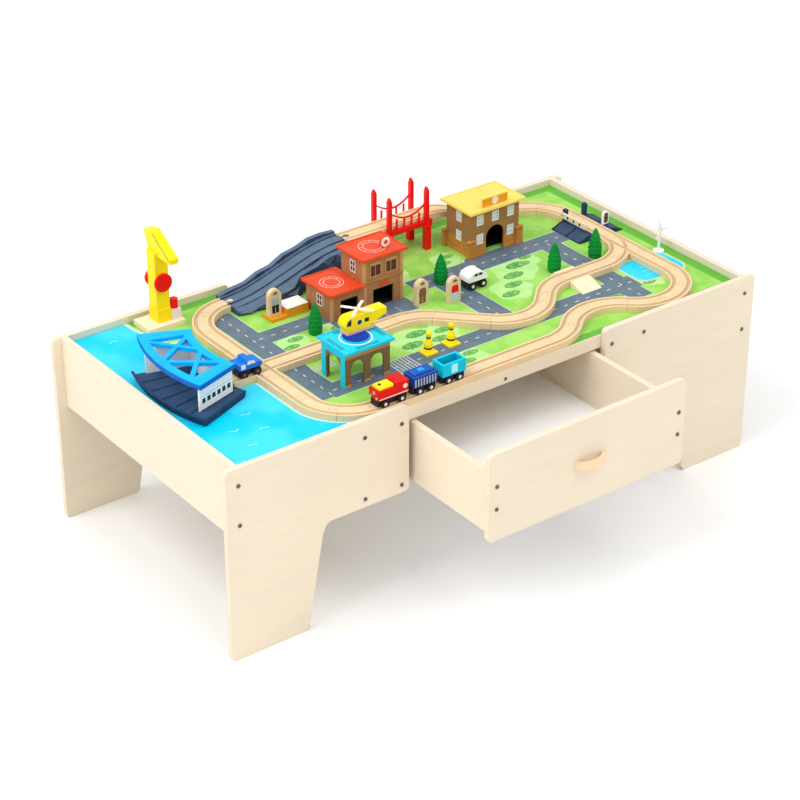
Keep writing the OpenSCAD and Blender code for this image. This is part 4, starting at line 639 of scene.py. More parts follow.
# Middle and size of each lawn with its two bushes
LAWNS = [
    (-60, -88, 30), (-8, -100, 24), (205, -40, 27), (258, 18, 30), (-150, 20, 24), (330, -190, 26),
    (-240, 30, 22), (50, 130, 26), (440, -160, 20), (180, 130, 20), (-20, -196, 22), (300, 40, 20),
]
lawns, bushes, strokes = shapes(3)
for index, (x, y, radius) in enumerate(LAWNS):
    lawns.flat(blob((x, y), radius * 1.5, 5, 0.09, 48, index), LAWN_Z + index * PATCH_STEP)
    for part in range(2):
        middle = (x + radius * (part - 0.5), y + radius * (part - 0.5))
        level = BUSH_Z + (index + part / 2) * PATCH_STEP
        bushes.flat(blob(middle, radius * 0.74, 9, 0.05, 54, part, 0.5), level)
        for tip in blob(middle, radius * 0.62, 9, 0.05, 11, part, 0.5):
            near = (middle[0] * 0.6 + tip[0] * 0.4, middle[1] * 0.6 + tip[1] * 0.4)
            strokes.strip([near, tip], 0.5, STROKE_Z)
lawns.make("lawns", "lawn_print")
bushes.make("bushes", "bush_print")
strokes.make("bush_strokes", "lawn_print")

POND_LOW, POND_HIGH = (418, -166), (532, -84)
Shape().flat(rounded(POND_LOW, POND_HIGH, 22), WATER_Z).make("pond", "water_print")
bank = rounded([part - SHORE_GAP for part in POND_LOW], [part + SHORE_GAP for part in POND_HIGH], 25)
Shape().flat(bank, POND_EDGE_Z).make("pond_edge", "sand_print")
pond_lines = Shape()
for step in range(4):
    pond_lines.strip([(440 + 10 * part + 6 * step, -148 + 15 * step + 2 * math.sin(part + step))
                      for part in range(5)], 0.5, POND_LINE_Z)
pond_lines.make("pond_lines", "ripple_print")


# Table

frame_screws, drawer_screws = Extent("frame_screws"), Extent("drawer_screws")
# Screws on one half of the table: distance from the middle, heights above the floor
FRAME_SCREWS = ((566, (341, 265)), (313, (341, 220)), (236, (341, 220)))
DRAWER_SCREW_X, DRAWER_SCREW_LEVELS = 202, (266.5, 310.5)
# Black discs in the screw heads: painted shade of their sockets
socket_shade, drawer_socket_shade = shapes(2, (0, 0, -BOARD_TOP))
for side in (-1, 1):
    for x, levels in FRAME_SCREWS:
        for level in levels:
            for face, out in ((frame_screws.y0, -0.15), (frame_screws.y1, 0.15)):
                socket_shade.lathe([(1.5, -out), (1.4, out)], (side * x, face, level), "y", 6)
    for level in DRAWER_SCREW_LEVELS:
        place = (side * DRAWER_SCREW_X, drawer_screws.y0, level)
        drawer_socket_shade.lathe([(1.4, SINK), (1.3, -0.2)], place, "y", 6)
socket_shade.make("screw_socket_shade", "black")
drawer_socket_shade.make("drawer_screw_socket_shade", "black", body="drawer")


# Fire station: a tall part with a low wing on its left

class Room:
    """Walls of a building, and how far its roof stands out to the sides and to the front."""

    def __init__(self, x0, x1, y0, y1, top, side, front):
        self.x0, self.x1, self.y0, self.y1, self.top = x0, x1, y0, y1, top
        self.roof_low, self.roof_high = (x0 - side, y0 - front), (x1 + side, y1 + front)
        self.roof_top = top + ROOF
        self.x, self.y = (x0 + x1) / 2, (y0 + y1) / 2


def shade_plates(name, porch, *rooms):
    """Black plates of painted shade on the inside of a building; they leave its front open, and the floor of
    a porch.
    """
    shape = Shape()
    for room in rooms:
        x0, x1, y0, y1 = room.x0 + WALL, room.x1 - WALL, room.y0 + WALL, room.y1 - WALL
        top = room.top - WALL
        shape.box((x0 - SINK, y1 - SHADE_PLATE, SHADE_PLATE), (x1 + SINK, y1 + SINK, top))
        for low, high in ((x0 - SINK, x0 + SHADE_PLATE), (x1 - SHADE_PLATE, x1 + SINK)):
            shape.box((low, y0, SHADE_PLATE), (high, y1, top))
        shape.box((x0, y0, top - SHADE_PLATE), (x1, y1, top + SINK))
        shape.box((x0, y0 + porch, -SINK), (x1, y1, SHADE_PLATE))
    shape.make(name, "black")


# Thickness of roofs, walls and the black plates of painted shade inside
ROOF, WALL, SHADE_PLATE = 4, 4, 0.7
tall = Room(-68.3, 19.7, 52.7, 122.7, 102, 7, 7)
low_wing = Room(-140.4, -68.4, 52.7, 132.7, 53, 7, 7)
fire_tan, fire_dark, fire_white, fire_pane, fire_red = shapes(5)
NICHES, NICHE_HALF, NICHE_FOOT, NICHE_TOP = (-41.9, -6.7), 12, 63.1, 92.7
for x in NICHES:
    low, high = x - NICHE_HALF, x + NICHE_HALF
    fire_tan.frame("y", tall.y0, (x, 76.6), (22, 21), 2.0, 0.9)
    fire_tan.plate("y", tall.y0 + 0.7, (low, 87.1), (high, NICHE_TOP), 0.7)
    fire_tan.plate("y", tall.y0 + 1.2, (x - 0.7, 66), (x + 0.7, 87), 0.9)
    fire_pane.plate("y", tall.y0 + 1.4, (low, NICHE_FOOT), (high, NICHE_TOP), 0.5)
GARAGES, GARAGE_TOP, SLAT_STEP = ((-47.3, -1.3), (-120.4, -81.2)), 38, 1.7
for low, high in GARAGES:
    for step in range(3):
        slat = GARAGE_TOP - SLAT_STEP * step
        fire_dark.box((low, 57.2, slat - 1.6), (high, 57.9, slat - 0.6))
fire_red.plate("y", tall.y0, (-35, 43), (-13, 50), 1.4)
fire_tan.plate("y", tall.y0, (tall.x0 + 6, 53), (tall.x1 - 6, 57), 1.0)
fire_tan.plate("x", low_wing.x0 + 0.9, (76.7, 23.9), (102.3, 44.9), 0.8)
FIRE_PANE = (13, 20)
sash(fire_white, fire_pane, "x", low_wing.x0, (89.5, 32), FIRE_PANE)
sash(fire_white, fire_pane, "x", tall.x0, (86, 80), FIRE_PANE)
for room, x, width in ((tall, tall.x0, 5.7), (tall, tall.x1 - 5, 5.7), (low_wing, low_wing.x0, 4.6)):
    fire_tan.box((x - 0.7, room.y0 - 0.8, GAP), (x + width, room.y0 + 4.6, room.top - GAP))
fire_tan.make("fire_trim", "tan", 0.3)
fire_dark.make("fire_shutters", "black", 0.1)
# Black plates inside the fire station, as painted shade
shade_plates("fire_painted_shade", 0, tall, low_wing)
fire_red.make("fire_panels", "salmon", 0.4)
fire_white.make("fire_sashes", "white", 0.2)
fire_pane.make("fire_panes", "brown_glass")

# Height of prints above a roof, and how far the wing's roof ends from the tall wall
ROOF_PRINT, WING_GAP = 0.2, 7.9
rings, rims = shapes(2)
for room, sizes in ((tall, (25, 17)), (low_wing, (22, 15))):
    right = tall.x0 - WING_GAP if room is low_wing else room.roof_high[0]
    middle = ((room.roof_low[0] + right) / 2, room.y)
    z = room.roof_top + ROOF_PRINT
    for radius in sizes:
        rings.strip(arc(middle, radius, 0, 360, 48), 0.7, z)
    for tick in range(8):
        ends = [polar(middle, radius, 22.5 + 45 * tick) for radius in (sizes[1] + 2, sizes[0] - 2)]
        rings.strip(ends, 0.5, z)
    border(rims, room.roof_low, (right, room.roof_high[1]), 2.6, room.roof_top - SINK, room.roof_top + 1.4)
rings.make("roof_rings", "ring_print")
rims.make("fire_roof_rims", "salmon", 0.4)
HORN = (-6.7, 69.6, 117.2)
Shape().lathe([(9.6, -0.6), (9.6, 0.0), (8.8, 0.5)], HORN, "y", 36).make("roof_disc", "white", 0.15)
Shape().lathe([(4.2, -1.4), (4.2, -0.8), (3.6, -0.2)], HORN, "y", 28).make("roof_disc_middle", "salmon")


# Town hall

hall = Room(222.6, 338.6, 105.9, 181.9, 93, 9, 9)
GATE_HALF, PLINTH_TOP = 22, 7
WINDOW_STEP, LOWER, UPPER = 37.1, 35.1, 74.7
PANE, RECESS = (12.6, 17.6), 1.5
hall_white, hall_pane, hall_base = shapes(3)
for side, z in ((-1, UPPER), (0, UPPER), (1, UPPER), (-1, LOWER), (1, LOWER)):
    middle = (hall.x + side * WINDOW_STEP, z)
    sash(hall_white, hall_pane, "y", hall.y0 + RECESS, middle, PANE, 1.7, RECESS + 0.4)
for z in (LOWER, UPPER):
    sash(hall_white, hall_pane, "x", hall.x0 + RECESS, (144.3, z), PANE, 1.7, RECESS + 0.4)
# Black plates inside the town hall, as painted shade, behind a bare porch floor
shade_plates("hall_painted_shade", 16, hall)
for x in (hall.x0, hall.x1):
    for y in (hall.y0, hall.y1):
        hall_base.box((x - 8.6, y - 4.6, GAP), (x + 8.6, y + 4.6, PLINTH_TOP))
        hall_base.box((x - 8.4, y - 4.4, 33.8), (x + 8.4, y + 4.4, 36.8))
for x0, x1 in ((hall.x0 + 8, hall.x - GATE_HALF), (hall.x + GATE_HALF, hall.x1 - 8)):
    hall_base.box((x0, hall.y0 - 1.2, GAP), (x1, hall.y0 + SINK, PLINTH_TOP))
hall_base.box((hall.x0 - 1.2, hall.y0 + 4, GAP), (hall.x0 + SINK, hall.y1 - 4, PLINTH_TOP))
hall_white.make("hall_sashes", "white", 0.2)
hall_pane.make("hall_panes", "pale_glass")
hall_base.make("hall_plinth", "rust", 0.4)
sign = Extent("town_hall_roof")
SIGN_FRONT, SIGN_HALF = 108.9, 31.9
sign_face = Shape()
sign_face.box((hall.x - SIGN_HALF + 2, SIGN_FRONT - 0.6, hall.roof_top + 1),
              (hall.x + SIGN_HALF - 2, SIGN_FRONT + SINK, sign.z1 - 2))
sign_face.make("hall_sign", "orange", 0.2)
SIGN_MIDDLE = (hall.x, SIGN_FRONT - 0.8, (hall.roof_top + sign.z1) / 2)
Shape().lathe([(7.8, -0.5), (7.8, 0.0), (7.2, 0.4)], SIGN_MIDDLE, "y", 32).make("hall_disc", "cream")
hall_rim, seams = shapes(2)
border(hall_rim, hall.roof_low, hall.roof_high, 2.8, hall.roof_top - SINK, hall.roof_top + 1.5)
SEAMS, SEAM_STEP = 9, 9.4
for step in range(SEAMS):
    y = hall.roof_low[1] + 8 + step * SEAM_STEP
    seams.box((hall.roof_low[0] + 3, y, hall.roof_top - SINK),
              (hall.roof_high[0] - 3, y + 0.6, hall.roof_top + 0.2))
hall_rim.make("hall_roof_rim", "gold", 0.4)
seams.make("hall_roof_seams", "gold_line")


# Heliport and helicopter

port = Room(-263.6, -167.6, -160.1, -92.1, 68, 4, 9)
PAD, PAD_TOP = 24, 75
port_side, port_trim, port_marks, lines = shapes(4)
POST, LINTEL, SKIN, FOOT_HALF = 12, 56, 0.9, 6.5
for y0, y1 in ((port.y0 - 0.6, port.y0 + POST), (port.y1 - POST, port.y1 + 0.6)):
    port_side.box((port.x0 - SKIN, y0, 0.2), (port.x0 + SINK, y1, port.top))
port_side.box((port.x0 - SKIN, port.y0 + POST, LINTEL), (port.x0 + SINK, port.y1 - POST, port.top))
port_side.make("port_side", "turquoise", 0.3)
port_trim.box((port.x0, port.y0 - SKIN, LINTEL), (port.x1, port.y0 + SINK, port.top))
for x in (port.x0 + FOOT_HALF, port.x, port.x1 - FOOT_HALF):
    port_trim.box((x - FOOT_HALF, port.y0 - SKIN, 0.2), (x + FOOT_HALF, port.y0 + SINK, 6))
port_trim.make("port_trim", "tan", 0.3)
port_marks.strip(arc((port.x, port.y), PAD + 4.5, 0, 360, 60), 1.4, port.roof_top + ROOF_PRINT)
port_marks.make("port_marks", "pale_print")
LINE_LENGTH, LINE_INSETS, LINE_HALF = 24, (6.5, 10.5), 0.75
for inset in LINE_INSETS:
    for x in (port.roof_low[0] + inset, port.roof_high[0] - inset):
        ends = [(x, port.y - LINE_LENGTH), (x, port.y + LINE_LENGTH)]
        lines.strip(ends, LINE_HALF, port.roof_top + ROOF_PRINT)
    for y in (port.roof_low[1] + inset, port.roof_high[1] - inset):
        ends = [(port.x - LINE_LENGTH, y), (port.x + LINE_LENGTH, y)]
        lines.strip(ends, LINE_HALF, port.roof_top + ROOF_PRINT)
lines.make("port_lines", "navy")
pad = Shape()
pad.lathe([(PAD - 0.4, 0), (PAD - 0.4, 0.4), (PAD - 1.4, 0.7)], (port.x, port.y, PAD_TOP - SINK), "z", 48)
pad.make("port_pad", "pad_blue")
port_rim = Shape()
border(port_rim, port.roof_low, port.roof_high, 2.2, port.roof_top - SINK, port.roof_top + 1.2)
port_rim.make("port_roof_rim", "turquoise", 0.4)

heli = Extent("helicopter_body")
NOSE, PORTHOLE, HUB = (13.5, 94.4), (30.2, 95), (33.4, 0, 117)
BELLY, PLANK_HALF = 80.9, 11.4
heli_glass, heli_rings, plank, cap = shapes(4, heli.start)
screen = arc((NOSE[0] - 0.5, NOSE[1] + 1), 9.5, 90, 190, 14) + [(NOSE[0] - 1, NOSE[1] - 1.5)]
for outline in (screen, arc(PORTHOLE, 4.6, 0, 345, 20), rounded((41.2, 91.5), (50.2, 99), 1.4)):
    heli_glass.pair(outline, heli.half, 0.3)
RING_OUT = 0.2
for low, high in ((-heli.half - RING_OUT, -heli.half), (heli.half, heli.half + RING_OUT)):
    heli_rings.prism(arc(PORTHOLE, 5.8, 0, 345, 24), "y", low, high)
heli_glass.make("heli_windows", "dark_glass")
heli_rings.make("heli_rings", "cream")
plank.box((4, -PLANK_HALF, PAD_TOP - SINK), (62.9, PLANK_HALF, BELLY))
plank.make("heli_plank", "pink_wood", 0.5)
cap.lathe([(3.6, 0), (3.4, 0.8), (1.2, 1.9)], HUB, "z", 24)
cap.make("rotor_cap", "yellow", body="rotor")


# Ferry

FERRY = (-228, -4)
HULL_TURNS, ROOF_TURNS, WALL_TURNS = (-16.4, 22.0), (-23.5, 18.5), (-15.6, 17.0)
HULL_RADII, ROOF_RADII, WALL_RADII = (198, 325), (211, 304), (215, 300)
DECK, ROOF_UNDER, FERRY_TOP = 11, 60, 67


def ferry(radius, turn):
    """Spot on the ferry, with the turn in degrees towards the front."""
    return polar(FERRY, radius, 180 + turn)


def curved(shape, turns, radii, levels, steps=40):
    """Bar with a rectangular section that follows the ferry's curve."""
    section = rect((radii[0], levels[0]), (radii[1], levels[1]))
    spread = [turns[0] + (turns[1] - turns[0]) * index / steps for index in range(steps + 1)]
    shape.loft([[(*ferry(radius, turn), z) for radius, z in section] for turn in spread])


deck, rail, fascia = shapes(3)
PLANKS = 6
for index in range(PLANKS):
    step = (HULL_TURNS[1] - HULL_TURNS[0]) / PLANKS
    start = HULL_TURNS[0] + step * index
    curved(deck, (start + 0.5, start + step - 0.5), (HULL_RADII[0] + 3, HULL_RADII[1] - 6),
           (DECK - SINK, DECK + 0.9), 8)
deck.make("ferry_deck", "deck_slate", 0.2)
curved(rail, HULL_TURNS, (HULL_RADII[1] - 4.4, HULL_RADII[1] + 0.4), (15.8, 18.2))
rail.make("ferry_rail", "navy", 0.4)
FASCIA = (ROOF_UNDER - 2.5, FERRY_TOP - 1.2)
INNER = (ROOF_RADII[0] + 1.4, ROOF_RADII[1] - 1.4)
for radii in ((ROOF_RADII[0] - 0.6, INNER[0]), (INNER[1], ROOF_RADII[1] + 0.6)):
    curved(fascia, (ROOF_TURNS[0] - 0.1, ROOF_TURNS[1] + 0.1), radii, FASCIA)
for turn, out in ((ROOF_TURNS[0], -0.15), (ROOF_TURNS[1], 0.15)):
    curved(fascia, sorted((turn + out, turn - 2 * out)), INNER, FASCIA, 2)
fascia.make("ferry_fascia", "deep_sky")

panes, bars, wall_low = shapes(3)
WALL_HALF, PORTS, PORT, PORT_STEP = 2, 6, 8, 13
for turn, side in ((WALL_TURNS[0], -1), (WALL_TURNS[1], 1)):
    def wall_spot(radius, out, z):
        return (*polar(ferry(radius, turn), out, 180 + turn + 90 * side), z)

    def panel(shape, near, far, low, high, out):
        outline = rect((near, low), (far, high))
        shape.loft([[wall_spot(radius, WALL_HALF + depth, z) for radius, z in outline]
                    for depth in (-SINK, out)])

    panel(wall_low, WALL_RADII[0] + 0.5, WALL_RADII[1] - 0.5, DECK + 0.3, DECK + 2.4, 0.6)
    for step in range(PORTS):
        near = WALL_RADII[0] + 6 + PORT_STEP * step
        panel(panes, near, near + PORT, 25, 34, 0.35)
        panel(bars, near, near + PORT, 44, 44.8, 0.3)
    panel(bars, WALL_RADII[0] + 2, WALL_RADII[1] - 2, 39, 40.4, 0.5)
panes.make("ferry_windows", "dark_glass")
bars.make("ferry_bars", "pale_blue")
wall_low.make("ferry_wall_base", "navy")


# Crane

CRANE = (-388.1, 238.1)
JIB_HALF = 8.5
# Black strips on both sides of the jib: painted shade of the slot along it
jib_slot_shade = Shape((*CRANE, 0))
jib_slot_shade.pair([(-2, 182.8), (-56.5, 147.9), (-56.5, 146.7), (-2, 181.4)], JIB_HALF, 0.3, "x")
jib_slot_shade.make("crane_slot_shade", "black")
load = Extent("crane_load")
BLOCK_TOP = 29
block = Shape().box((load.x0 - 0.3, load.y0 - 0.3, load.z0 - SINK),
                    (load.x1 + 0.3, load.y1 + 0.3, BLOCK_TOP + 0.2))
block.make("load_block", "block_wood", 0.8)
lid = Shape().lathe([(6.9, -SINK), (6.9, 0.4), (6.2, 0.9), (1.5, 1.0)], (load.x, load.y, load.z1), "z", 32)
lid.make("barrel_lid", "red", 0.15)


# Mountain: broken facets on the front, clear of the cave

MOUNTAIN_FACE, MOUNTAIN_RUN = Extent("mountain_ramp").y0, (-261.8, -0.4)
MOUNTAIN_TOP = 67
FACE_SHARES = (0.16, 0.17, 0.25, 0.35, 0.46, 0.62, 0.71, 0.88, 0.92, 0.96)
CAVE, DEPTH = (-126, -73), 8


def rock_height(x):
    """Top of the front rock above the board."""
    reach = (x - MOUNTAIN_RUN[0]) / (MOUNTAIN_RUN[1] - MOUNTAIN_RUN[0]) * (len(FACE_SHARES) - 1)
    index = min(int(reach), len(FACE_SHARES) - 2)
    part = reach - index
    return MOUNTAIN_TOP * (FACE_SHARES[index] * (1 - part) + FACE_SHARES[index + 1] * part)


def scatter(seed):
    """Value from 0 to 1 that is the same in every run."""
    wave = math.sin(seed) * 43758.5453
    return wave - math.floor(wave)


facets = Shape()
ROWS = 4
for low, high, count in ((MOUNTAIN_RUN[0], CAVE[0], 8), (CAVE[1], MOUNTAIN_RUN[1], 5)):
    points = []
    for column in range(count + 1):
        for level in range(ROWS + 1):
            chance = scatter(column * 12.9898 + level * 78.233 + low)
            inner = 0 < column < count
            x = low + (high - low) * (column + (chance - 0.5) * 0.7 * inner) / count
            out = (1 + DEPTH * chance) * (level < ROWS) * (1 if inner else 0.2)
            points.append((x, MOUNTAIN_FACE - out - SINK, (rock_height(x) - 0.4) * level / ROWS + 0.3))
    faces = []
    for column in range(count):
        for level in range(ROWS):
            near = column * (ROWS + 1) + level
            far = near + ROWS + 1
            split = ((near, far, far + 1), (near, far + 1, near + 1))
            if (column + level) % 2:
                split = ((near, far, near + 1), (far, far + 1, near + 1))
            faces += split
    facets.grow(points, faces)
facets.make("mountain_facets", "rock")


# Level crossing

crossing = Extent("level_crossing")
SLOPE_RUN, SLOPE_RISE, RIB = 30, 12, 3.2
ramp_panels, ramp_groove_shade = shapes(2)
for foot, way in ((crossing.x0, 1), (crossing.x1, -1)):
    def slope(shape, y0, y1, low, high, out):
        ends = [(foot + way * SLOPE_RUN * share, SLOPE_RISE * share) for share in (low, high)]
        shape.prism([(x, z - SINK) for x, z in ends] + [(x, z + out) for x, z in reversed(ends)], "y", y0, y1)

    for y0, y1 in ((crossing.y0 + RIB, crossing.y - RIB / 2), (crossing.y + RIB / 2, crossing.y1 - RIB)):
        slope(ramp_panels, y0, y1, 0.1, 0.9, 0.3)
    # Black strips along each ramp, at its edges and middle: painted shade of grooves
    for y in (crossing.y0 + RIB / 2, crossing.y, crossing.y1 - RIB / 2):
        slope(ramp_groove_shade, y - RIB / 2 + 0.1, y + RIB / 2 - 0.1, 0.04, 0.9, 1.1)
ramp_panels.make("crossing_panels", "ramp_slate")
ramp_groove_shade.make("crossing_groove_shade", "black")
SIGNAL = (511.8, 48, 0)
signal, lamp, lights = shapes(3, SIGNAL)
signal.prism([(-7.6, 12.5), (7.6, 12.5)] + arc((0, 32.5), 7.7, 0, 180, 18), "y", -0.4, 4.4)
signal.make("signal_plate", "white", 0.4)
lamp.prism(rounded((-4.6, 16), (4.6, 36.5), 4.4), "y", -0.9, -0.3)
lamp.make("signal_face", "black", 0.2)
for z in (22, 30.5):
    lights.lathe([(2.7, 0.2), (2.7, -0.4), (2.0, -0.8)], (0, -0.9, z), "y", 20)
lights.make("signal_lights", "hub_brown")
gate, dots = Extent("crossing_gate"), Shape()
for y in (56, 74, 92):
    dots.lathe([(2.6, 0.3), (2.6, -0.3), (2.2, -0.5)], (gate.x0 - SINK, y, gate.z), "x", 20)
dots.make("gate_dots", "black", body="gate")


# Scenery

TREES = ((-187, 37.7), (114.8, 60.9), (315.8, -28.9), (417.2, -28.9))
TIERS, TREE_FOOT, TREE_TOP, TREE_RADIUS = 7, 2, 61, 13.4
LEVELS, AROUND = 50, 40
needles, trunks = shapes(2)
for tree, place in enumerate(TREES):
    needles.origin = trunks.origin = (*place, 0)
    levels = []
    for level in range(LEVELS):
        share = level / (LEVELS - 1)
        width = TREE_RADIUS * math.sin(math.pi * (0.28 + 0.72 * share)) ** 0.62 * (1 - 0.28 * share)
        width *= 1.06 - 0.2 * (TIERS * share % 1)
        ring = []
        for index in range(AROUND):
            turn = 2 * math.pi * index / AROUND
            lump = 0.06 * math.sin(8 * turn + 2 * (TIERS * share // 1) + tree)
            lump += 0.03 * math.sin(17 * turn - level)
            point = polar((0, 0), max(width, 0.4) * (1 + lump), 360 * index / AROUND)
            ring.append((*point, TREE_FOOT + (TREE_TOP - TREE_FOOT) * share))
        levels.append(ring)
    needles.loft(levels)
    trunks.lathe([(8.9, 0.1), (8.9, 1.6), (7.9, 2.2)], (0, 0, 0), "z", 20)
needles.make("tree_tiers", "leaf", smooth=True)
trunks.make("tree_feet", "pale_wood")

HEAD = 42
FIGURES = {"left": (31.9, 8.0, 0), "right": (86.8, -17.9, 0), "platform": (-211.7, 127.7, 6)}
CLOTHES = {"left": ("hub_brown", "hub_brown"), "right": ("red", "pale_blue"),
           "platform": ("slat_gray", "black")}
heads, hair = shapes(2)
for name, place in FIGURES.items():
    heads.origin = hair.origin = place
    heads.prism(arc((0, HEAD), 4.4, 0, 345, 20), "y", -0.3, SINK)
    hair.prism(arc((0, HEAD + 0.8), 5.0, 0, 180, 12), "y", -0.45, SINK)
    top, legs = shapes(2, place)
    top.prism([(-8, 21), (8, 21), (8, 29), (6, 36), (-6, 36), (-8, 29)], "y", -0.35, SINK)
    legs.prism([(-7, 5), (-0.8, 5), (-0.5, 18), (0.5, 18), (0.8, 5), (7, 5), (7.6, 22), (-7.6, 22)],
               "y", -0.25, SINK)
    for shape, piece, material in zip((top, legs), ("figure_top_", "figure_legs_"), CLOTHES[name]):
        shape.make(piece + name, material)
heads.make("figure_heads", "pink_wood")
hair.make("figure_hair", "hub_brown")

CONES = ((-68.9, -140.9), (-16.8, -139.0))
bands = Shape()
for place in CONES:
    bands.origin = (*place, 0)
    bands.lathe([(7.6, 9.4), (7.9, 9.6), (7.9, 12.4), (7.6, 12.6)], (0, 0, 0))
    bands.lathe([(4.0, 29.4), (4.4, 29.7), (4.4, 32.2), (4.0, 32.5)], (0, 0, 0))
bands.make("cone_bands", "black", smooth=True)

platform = Extent("platform")
STEP = 33.75
top_panel = Shape().box((platform.x0 + STEP - 0.3, platform.y0 - 0.3, platform.z1 - SINK),
                        (platform.x1 + 0.3, platform.y1 + 0.3, platform.z1 + 0.9))
top_panel.make("platform_top", "white", 0.4)


# Train and road vehicles, each placed from the left end and the middle of its body

HUB_STEPS = ((3.3, -SINK), (3.3, 0.4), (2.6, 0.7), (1.3, 0.7), (1.0, 1.1))
for node in WHEELS:
    pair = Extent(node)
    hubs = Shape()
    for face, out in ((pair.y0, -1), (pair.y1, 1)):
        steps = [(radius, out * rise) for radius, rise in HUB_STEPS]
        hubs.lathe(steps, (pair.x, face, pair.z), "y", 24)
    hubs.make(node + "_hubs", "hub_brown" if node.startswith("truck") else "hub_white", body=node)

engine = Extent("engine_body")
HOOD_HALF, HOOD_END, ROOF_HALF = 10.9, 34.4, 15.7
hood, cab, stripe, pane, lamps, dome, knob = shapes(7, engine.start)
hood.box((3.4, -HOOD_HALF, 42.6), (HOOD_END, HOOD_HALF, 49.0))
hood.make("engine_hood", "yellow", 2.2, "engine")
cab.box((HOOD_END, -ROOF_HALF, 48.6), (61.6, ROOF_HALF, 50.6))
cab.make("engine_roof", "engine_red", 0.9, "engine")
stripe.pair(rect((0.4, 28), (60.6, 29.8)), engine.half, 0.35)
stripe.pair(arc((54.2, 40), 4.4, 0, 345, 20), engine.half, 0.35)
stripe.make("engine_stripes", "cream", body="engine")
pane.prism(rounded((-9.5, 44.2), (9.5, 47.8), 0.6), "x", HOOD_END + 0.5, HOOD_END + 1.2)
pane.make("engine_windows", "dark_glass", body="engine")
for y in (-8, 8):
    lamps.lathe([(2.0, 0.3), (2.0, -0.6), (2.8, -0.8), (2.6, -1.6)], (0, y, 29.5), "x", 20)
lamps.lathe([(3.4, 0.2), (3.4, -0.8), (2.7, -1.3)], (0, 0, 37), "x", 24)
lamps.make("engine_lamps", "hub_silver", body="engine")
dome.lathe([(2.6, 48.2), (2.6, 50.2), (1.8, 51.0), (0.6, 51.3)], (10.8, 0, 0), "z", 24)
dome.make("engine_dome", "black", body="engine", smooth=True)
knob.lathe([(2.0, 0.2), (2.0, 0.9), (1.4, 1.2)], (66.6, 0, 21.9), "x", 20)
knob.make("engine_coupling", "hub_silver", body="engine")

box_wagon = Extent("box_wagon_body")
SLATS, SLAT, SLAT_GAP = 8, 2.6, 3.4
slats, roof, hatch = shapes(3, box_wagon.start)
for x in (7.9 + (SLAT + SLAT_GAP) * step for step in range(SLATS)):
    slats.pair(rect((x, 27.6), (x + SLAT, 42.4)), box_wagon.half, 0.6)
slats.make("box_wagon_slats", "slat_gray", 0.25, "box_wagon")
roof.box((5.1, -ROOF_HALF, 44.8), (56.3, ROOF_HALF, 46.8))
roof.box((9.1, -10.7, 46.6), (52.3, 10.7, 50.0))
roof.make("box_wagon_roof", "wagon_roof", 0.9, "box_wagon")
hatch.box((25, -4.5, 49.9), (36.4, 4.5, 50.5))
hatch.make("box_wagon_hatch", "sky", 0.2, "box_wagon")

open_wagon = Extent("open_wagon_body")
sides, edge, inside = shapes(3, open_wagon.start)
sides.pair(rounded((24, 30), (37, 46.5), 1.2), open_wagon.half, 0.45)
sides.make("open_wagon_panels", "ripple_print", body="open_wagon")
border(edge, (5.3, -15.4), (56.1, 15.4), 4.7, 47.8, 50.0)
edge.make("open_wagon_rim", "wagon_aqua", 0.6, "open_wagon")
inside.box((9.8, -HOOD_HALF, 30.4), (51.6, HOOD_HALF, 31.0))
inside.make("open_wagon_floor", "navy", body="open_wagon")

truck = Extent("truck_body")
SCREEN_HALF, BUMPER_HALF = 12.5, 14
truck_panel, truck_bars, truck_lamps, bumper = shapes(4, truck.start)
truck_panel.pair([(15, 35.2), (33.4, 35.2), (27.6, 41.8), (16.8, 41.8)], truck.half, 0.4)
truck_panel.pair(rounded((3, 29), (12, 38), 1.2), truck.half, 0.4)
truck_bars.pair(rect((23.4, 36), (24, 41)), truck.half, 0.6)
truck_panel.grow([(27.9, -SCREEN_HALF, 42.4), (27.9, SCREEN_HALF, 42.4),
                  (33.8, SCREEN_HALF, 36.2), (33.8, -SCREEN_HALF, 36.2)], [(0, 3, 2, 1)])
truck_bars.make("truck_bars", "black")
truck_panel.make("truck_panels", "white", 0.2)
for y in (-9.5, 9.5):
    truck_lamps.lathe([(2.1, -0.2), (2.1, 0.6), (1.6, 1.0)], (46, y, 30.5), "x", 20)
truck_lamps.make("truck_lamps", "hub_silver")
for x0, x1 in ((45, 47.4), (-1.2, 1)):
    bumper.box((x0, -BUMPER_HALF, 26.8), (x1, BUMPER_HALF, 28.6))
bumper.make("truck_bumpers", "black", 0.4)

CAR_HALF, CAR_FOOT, CAR_MIDDLE, CAR_RISE, WINDOW_FOOT = 22, 17.5, 7, 18, 28


def car_line(turn, inset):
    """Point on the car's outline, moved inwards towards its middle."""
    x = -CAR_HALF * math.cos(math.radians(turn))
    z = CAR_RISE * (0.3 + 0.7 * math.sin(math.radians(turn)))
    return (CAR_HALF + x * (1 - inset), CAR_FOOT + CAR_MIDDLE + (z - CAR_MIDDLE) * (1 - inset))


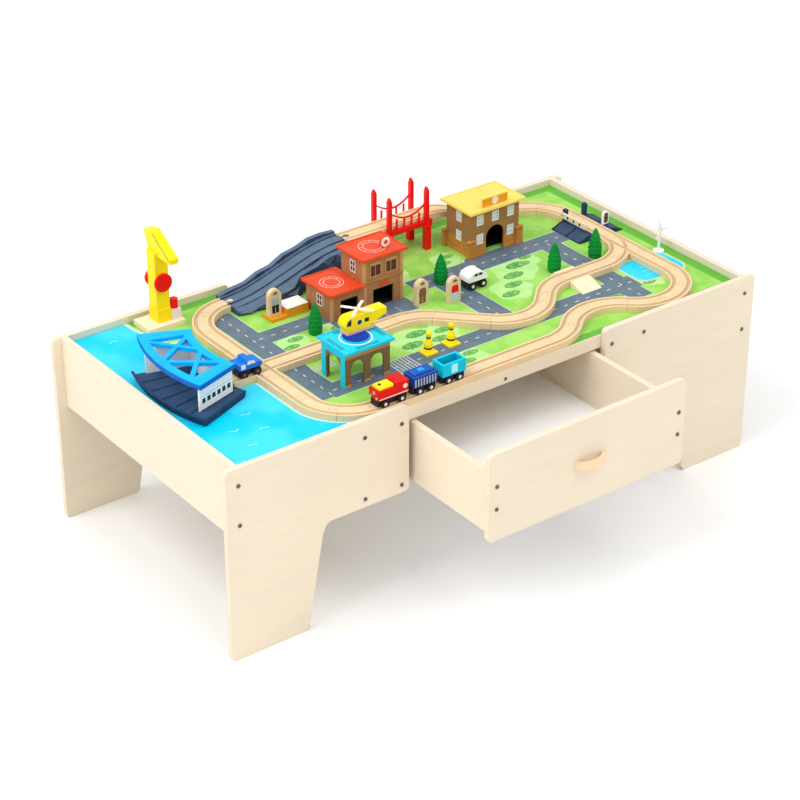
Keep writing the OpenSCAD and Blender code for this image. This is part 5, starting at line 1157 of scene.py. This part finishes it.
car = Extent("car_body")
car_glass, car_lamps = shapes(2, car.start)
for turns in (range(58, 87, 4), range(94, 123, 4)):
    line = [car_line(turn, 0.2) for turn in turns]
    car_glass.pair([(line[0][0], WINDOW_FOOT)] + line + [(line[-1][0], WINDOW_FOOT)], car.half, 0.4)
screen = [car_line(turn, -0.015) for turn in range(122, 147, 6)]
car_glass.grow([(x, y, z) for x, z in screen for y in (-10.9, 10.9)],
               [(2 * step, 2 * step + 1, 2 * step + 3, 2 * step + 2) for step in range(len(screen) - 1)])
car_glass.make("car_windows", "dark_glass")
for y in (-9.9, 9.9):
    car_lamps.lathe([(2.2, -0.3), (2.2, 0.5), (1.6, 0.9)], (43.8, y, 21), "x", 20)
car_lamps.make("car_lamps", "hub_silver")


# Floor, light and camera

floor_look = Look("floor")
speck = floor_look.noise(3, 3)
floor_color = floor_look.mix(speck, (0.94, 0.94, 0.94), (0.96, 0.96, 0.96))
floor_material = floor_look.done(floor_color, 0.7, speck, 0.0002)
floor_mesh = bpy.data.meshes.new("floor")
FLOOR = 15
floor_mesh.from_pydata([(-FLOOR, -FLOOR, 0), (FLOOR, -FLOOR, 0), (FLOOR, FLOOR, 0), (-FLOOR, FLOOR, 0)],
                       [], [(0, 1, 2, 3)])
floor_mesh.materials.append(floor_material)
floor = new_object("floor", floor_mesh)

world = bpy.data.worlds.new("studio")
world.use_nodes = True
background = world.node_tree.nodes["Background"]
background.inputs["Color"].default_value = (1.0, 1.0, 1.0, 1.0)
background.inputs["Strength"].default_value = 0.92
bpy.context.scene.world = world


LIT_SPOT = Vector((0, 0.1, 0.3))


def lamp_at(name, place, power, size):
    """Square area light turned to the middle of the table."""
    data = bpy.data.lights.new(name, "AREA")
    data.energy = power
    data.size = size
    item = new_object(name, data)
    item.location = place
    item.rotation_euler = (LIT_SPOT - Vector(place)).to_track_quat("-Z", "Y").to_euler()


lamp_at("key_light", (-2.6, 0.2, 3.4), 72, 2.4)
lamp_at("fill_light", (0.3, -1.6, 3.2), 26, 2.0)

camera = bpy.data.cameras.new("camera")
camera.sensor_width = 36
camera.lens = 103.23
viewer = new_object("camera", camera)
viewer.location = (-2.2409, -2.8373, 2.3090)
viewer.rotation_euler = (math.pi / 2 - 0.5223, 0, -0.6434)
bpy.context.scene.camera = viewer
bpy.context.scene.view_settings.view_transform = "Standard"
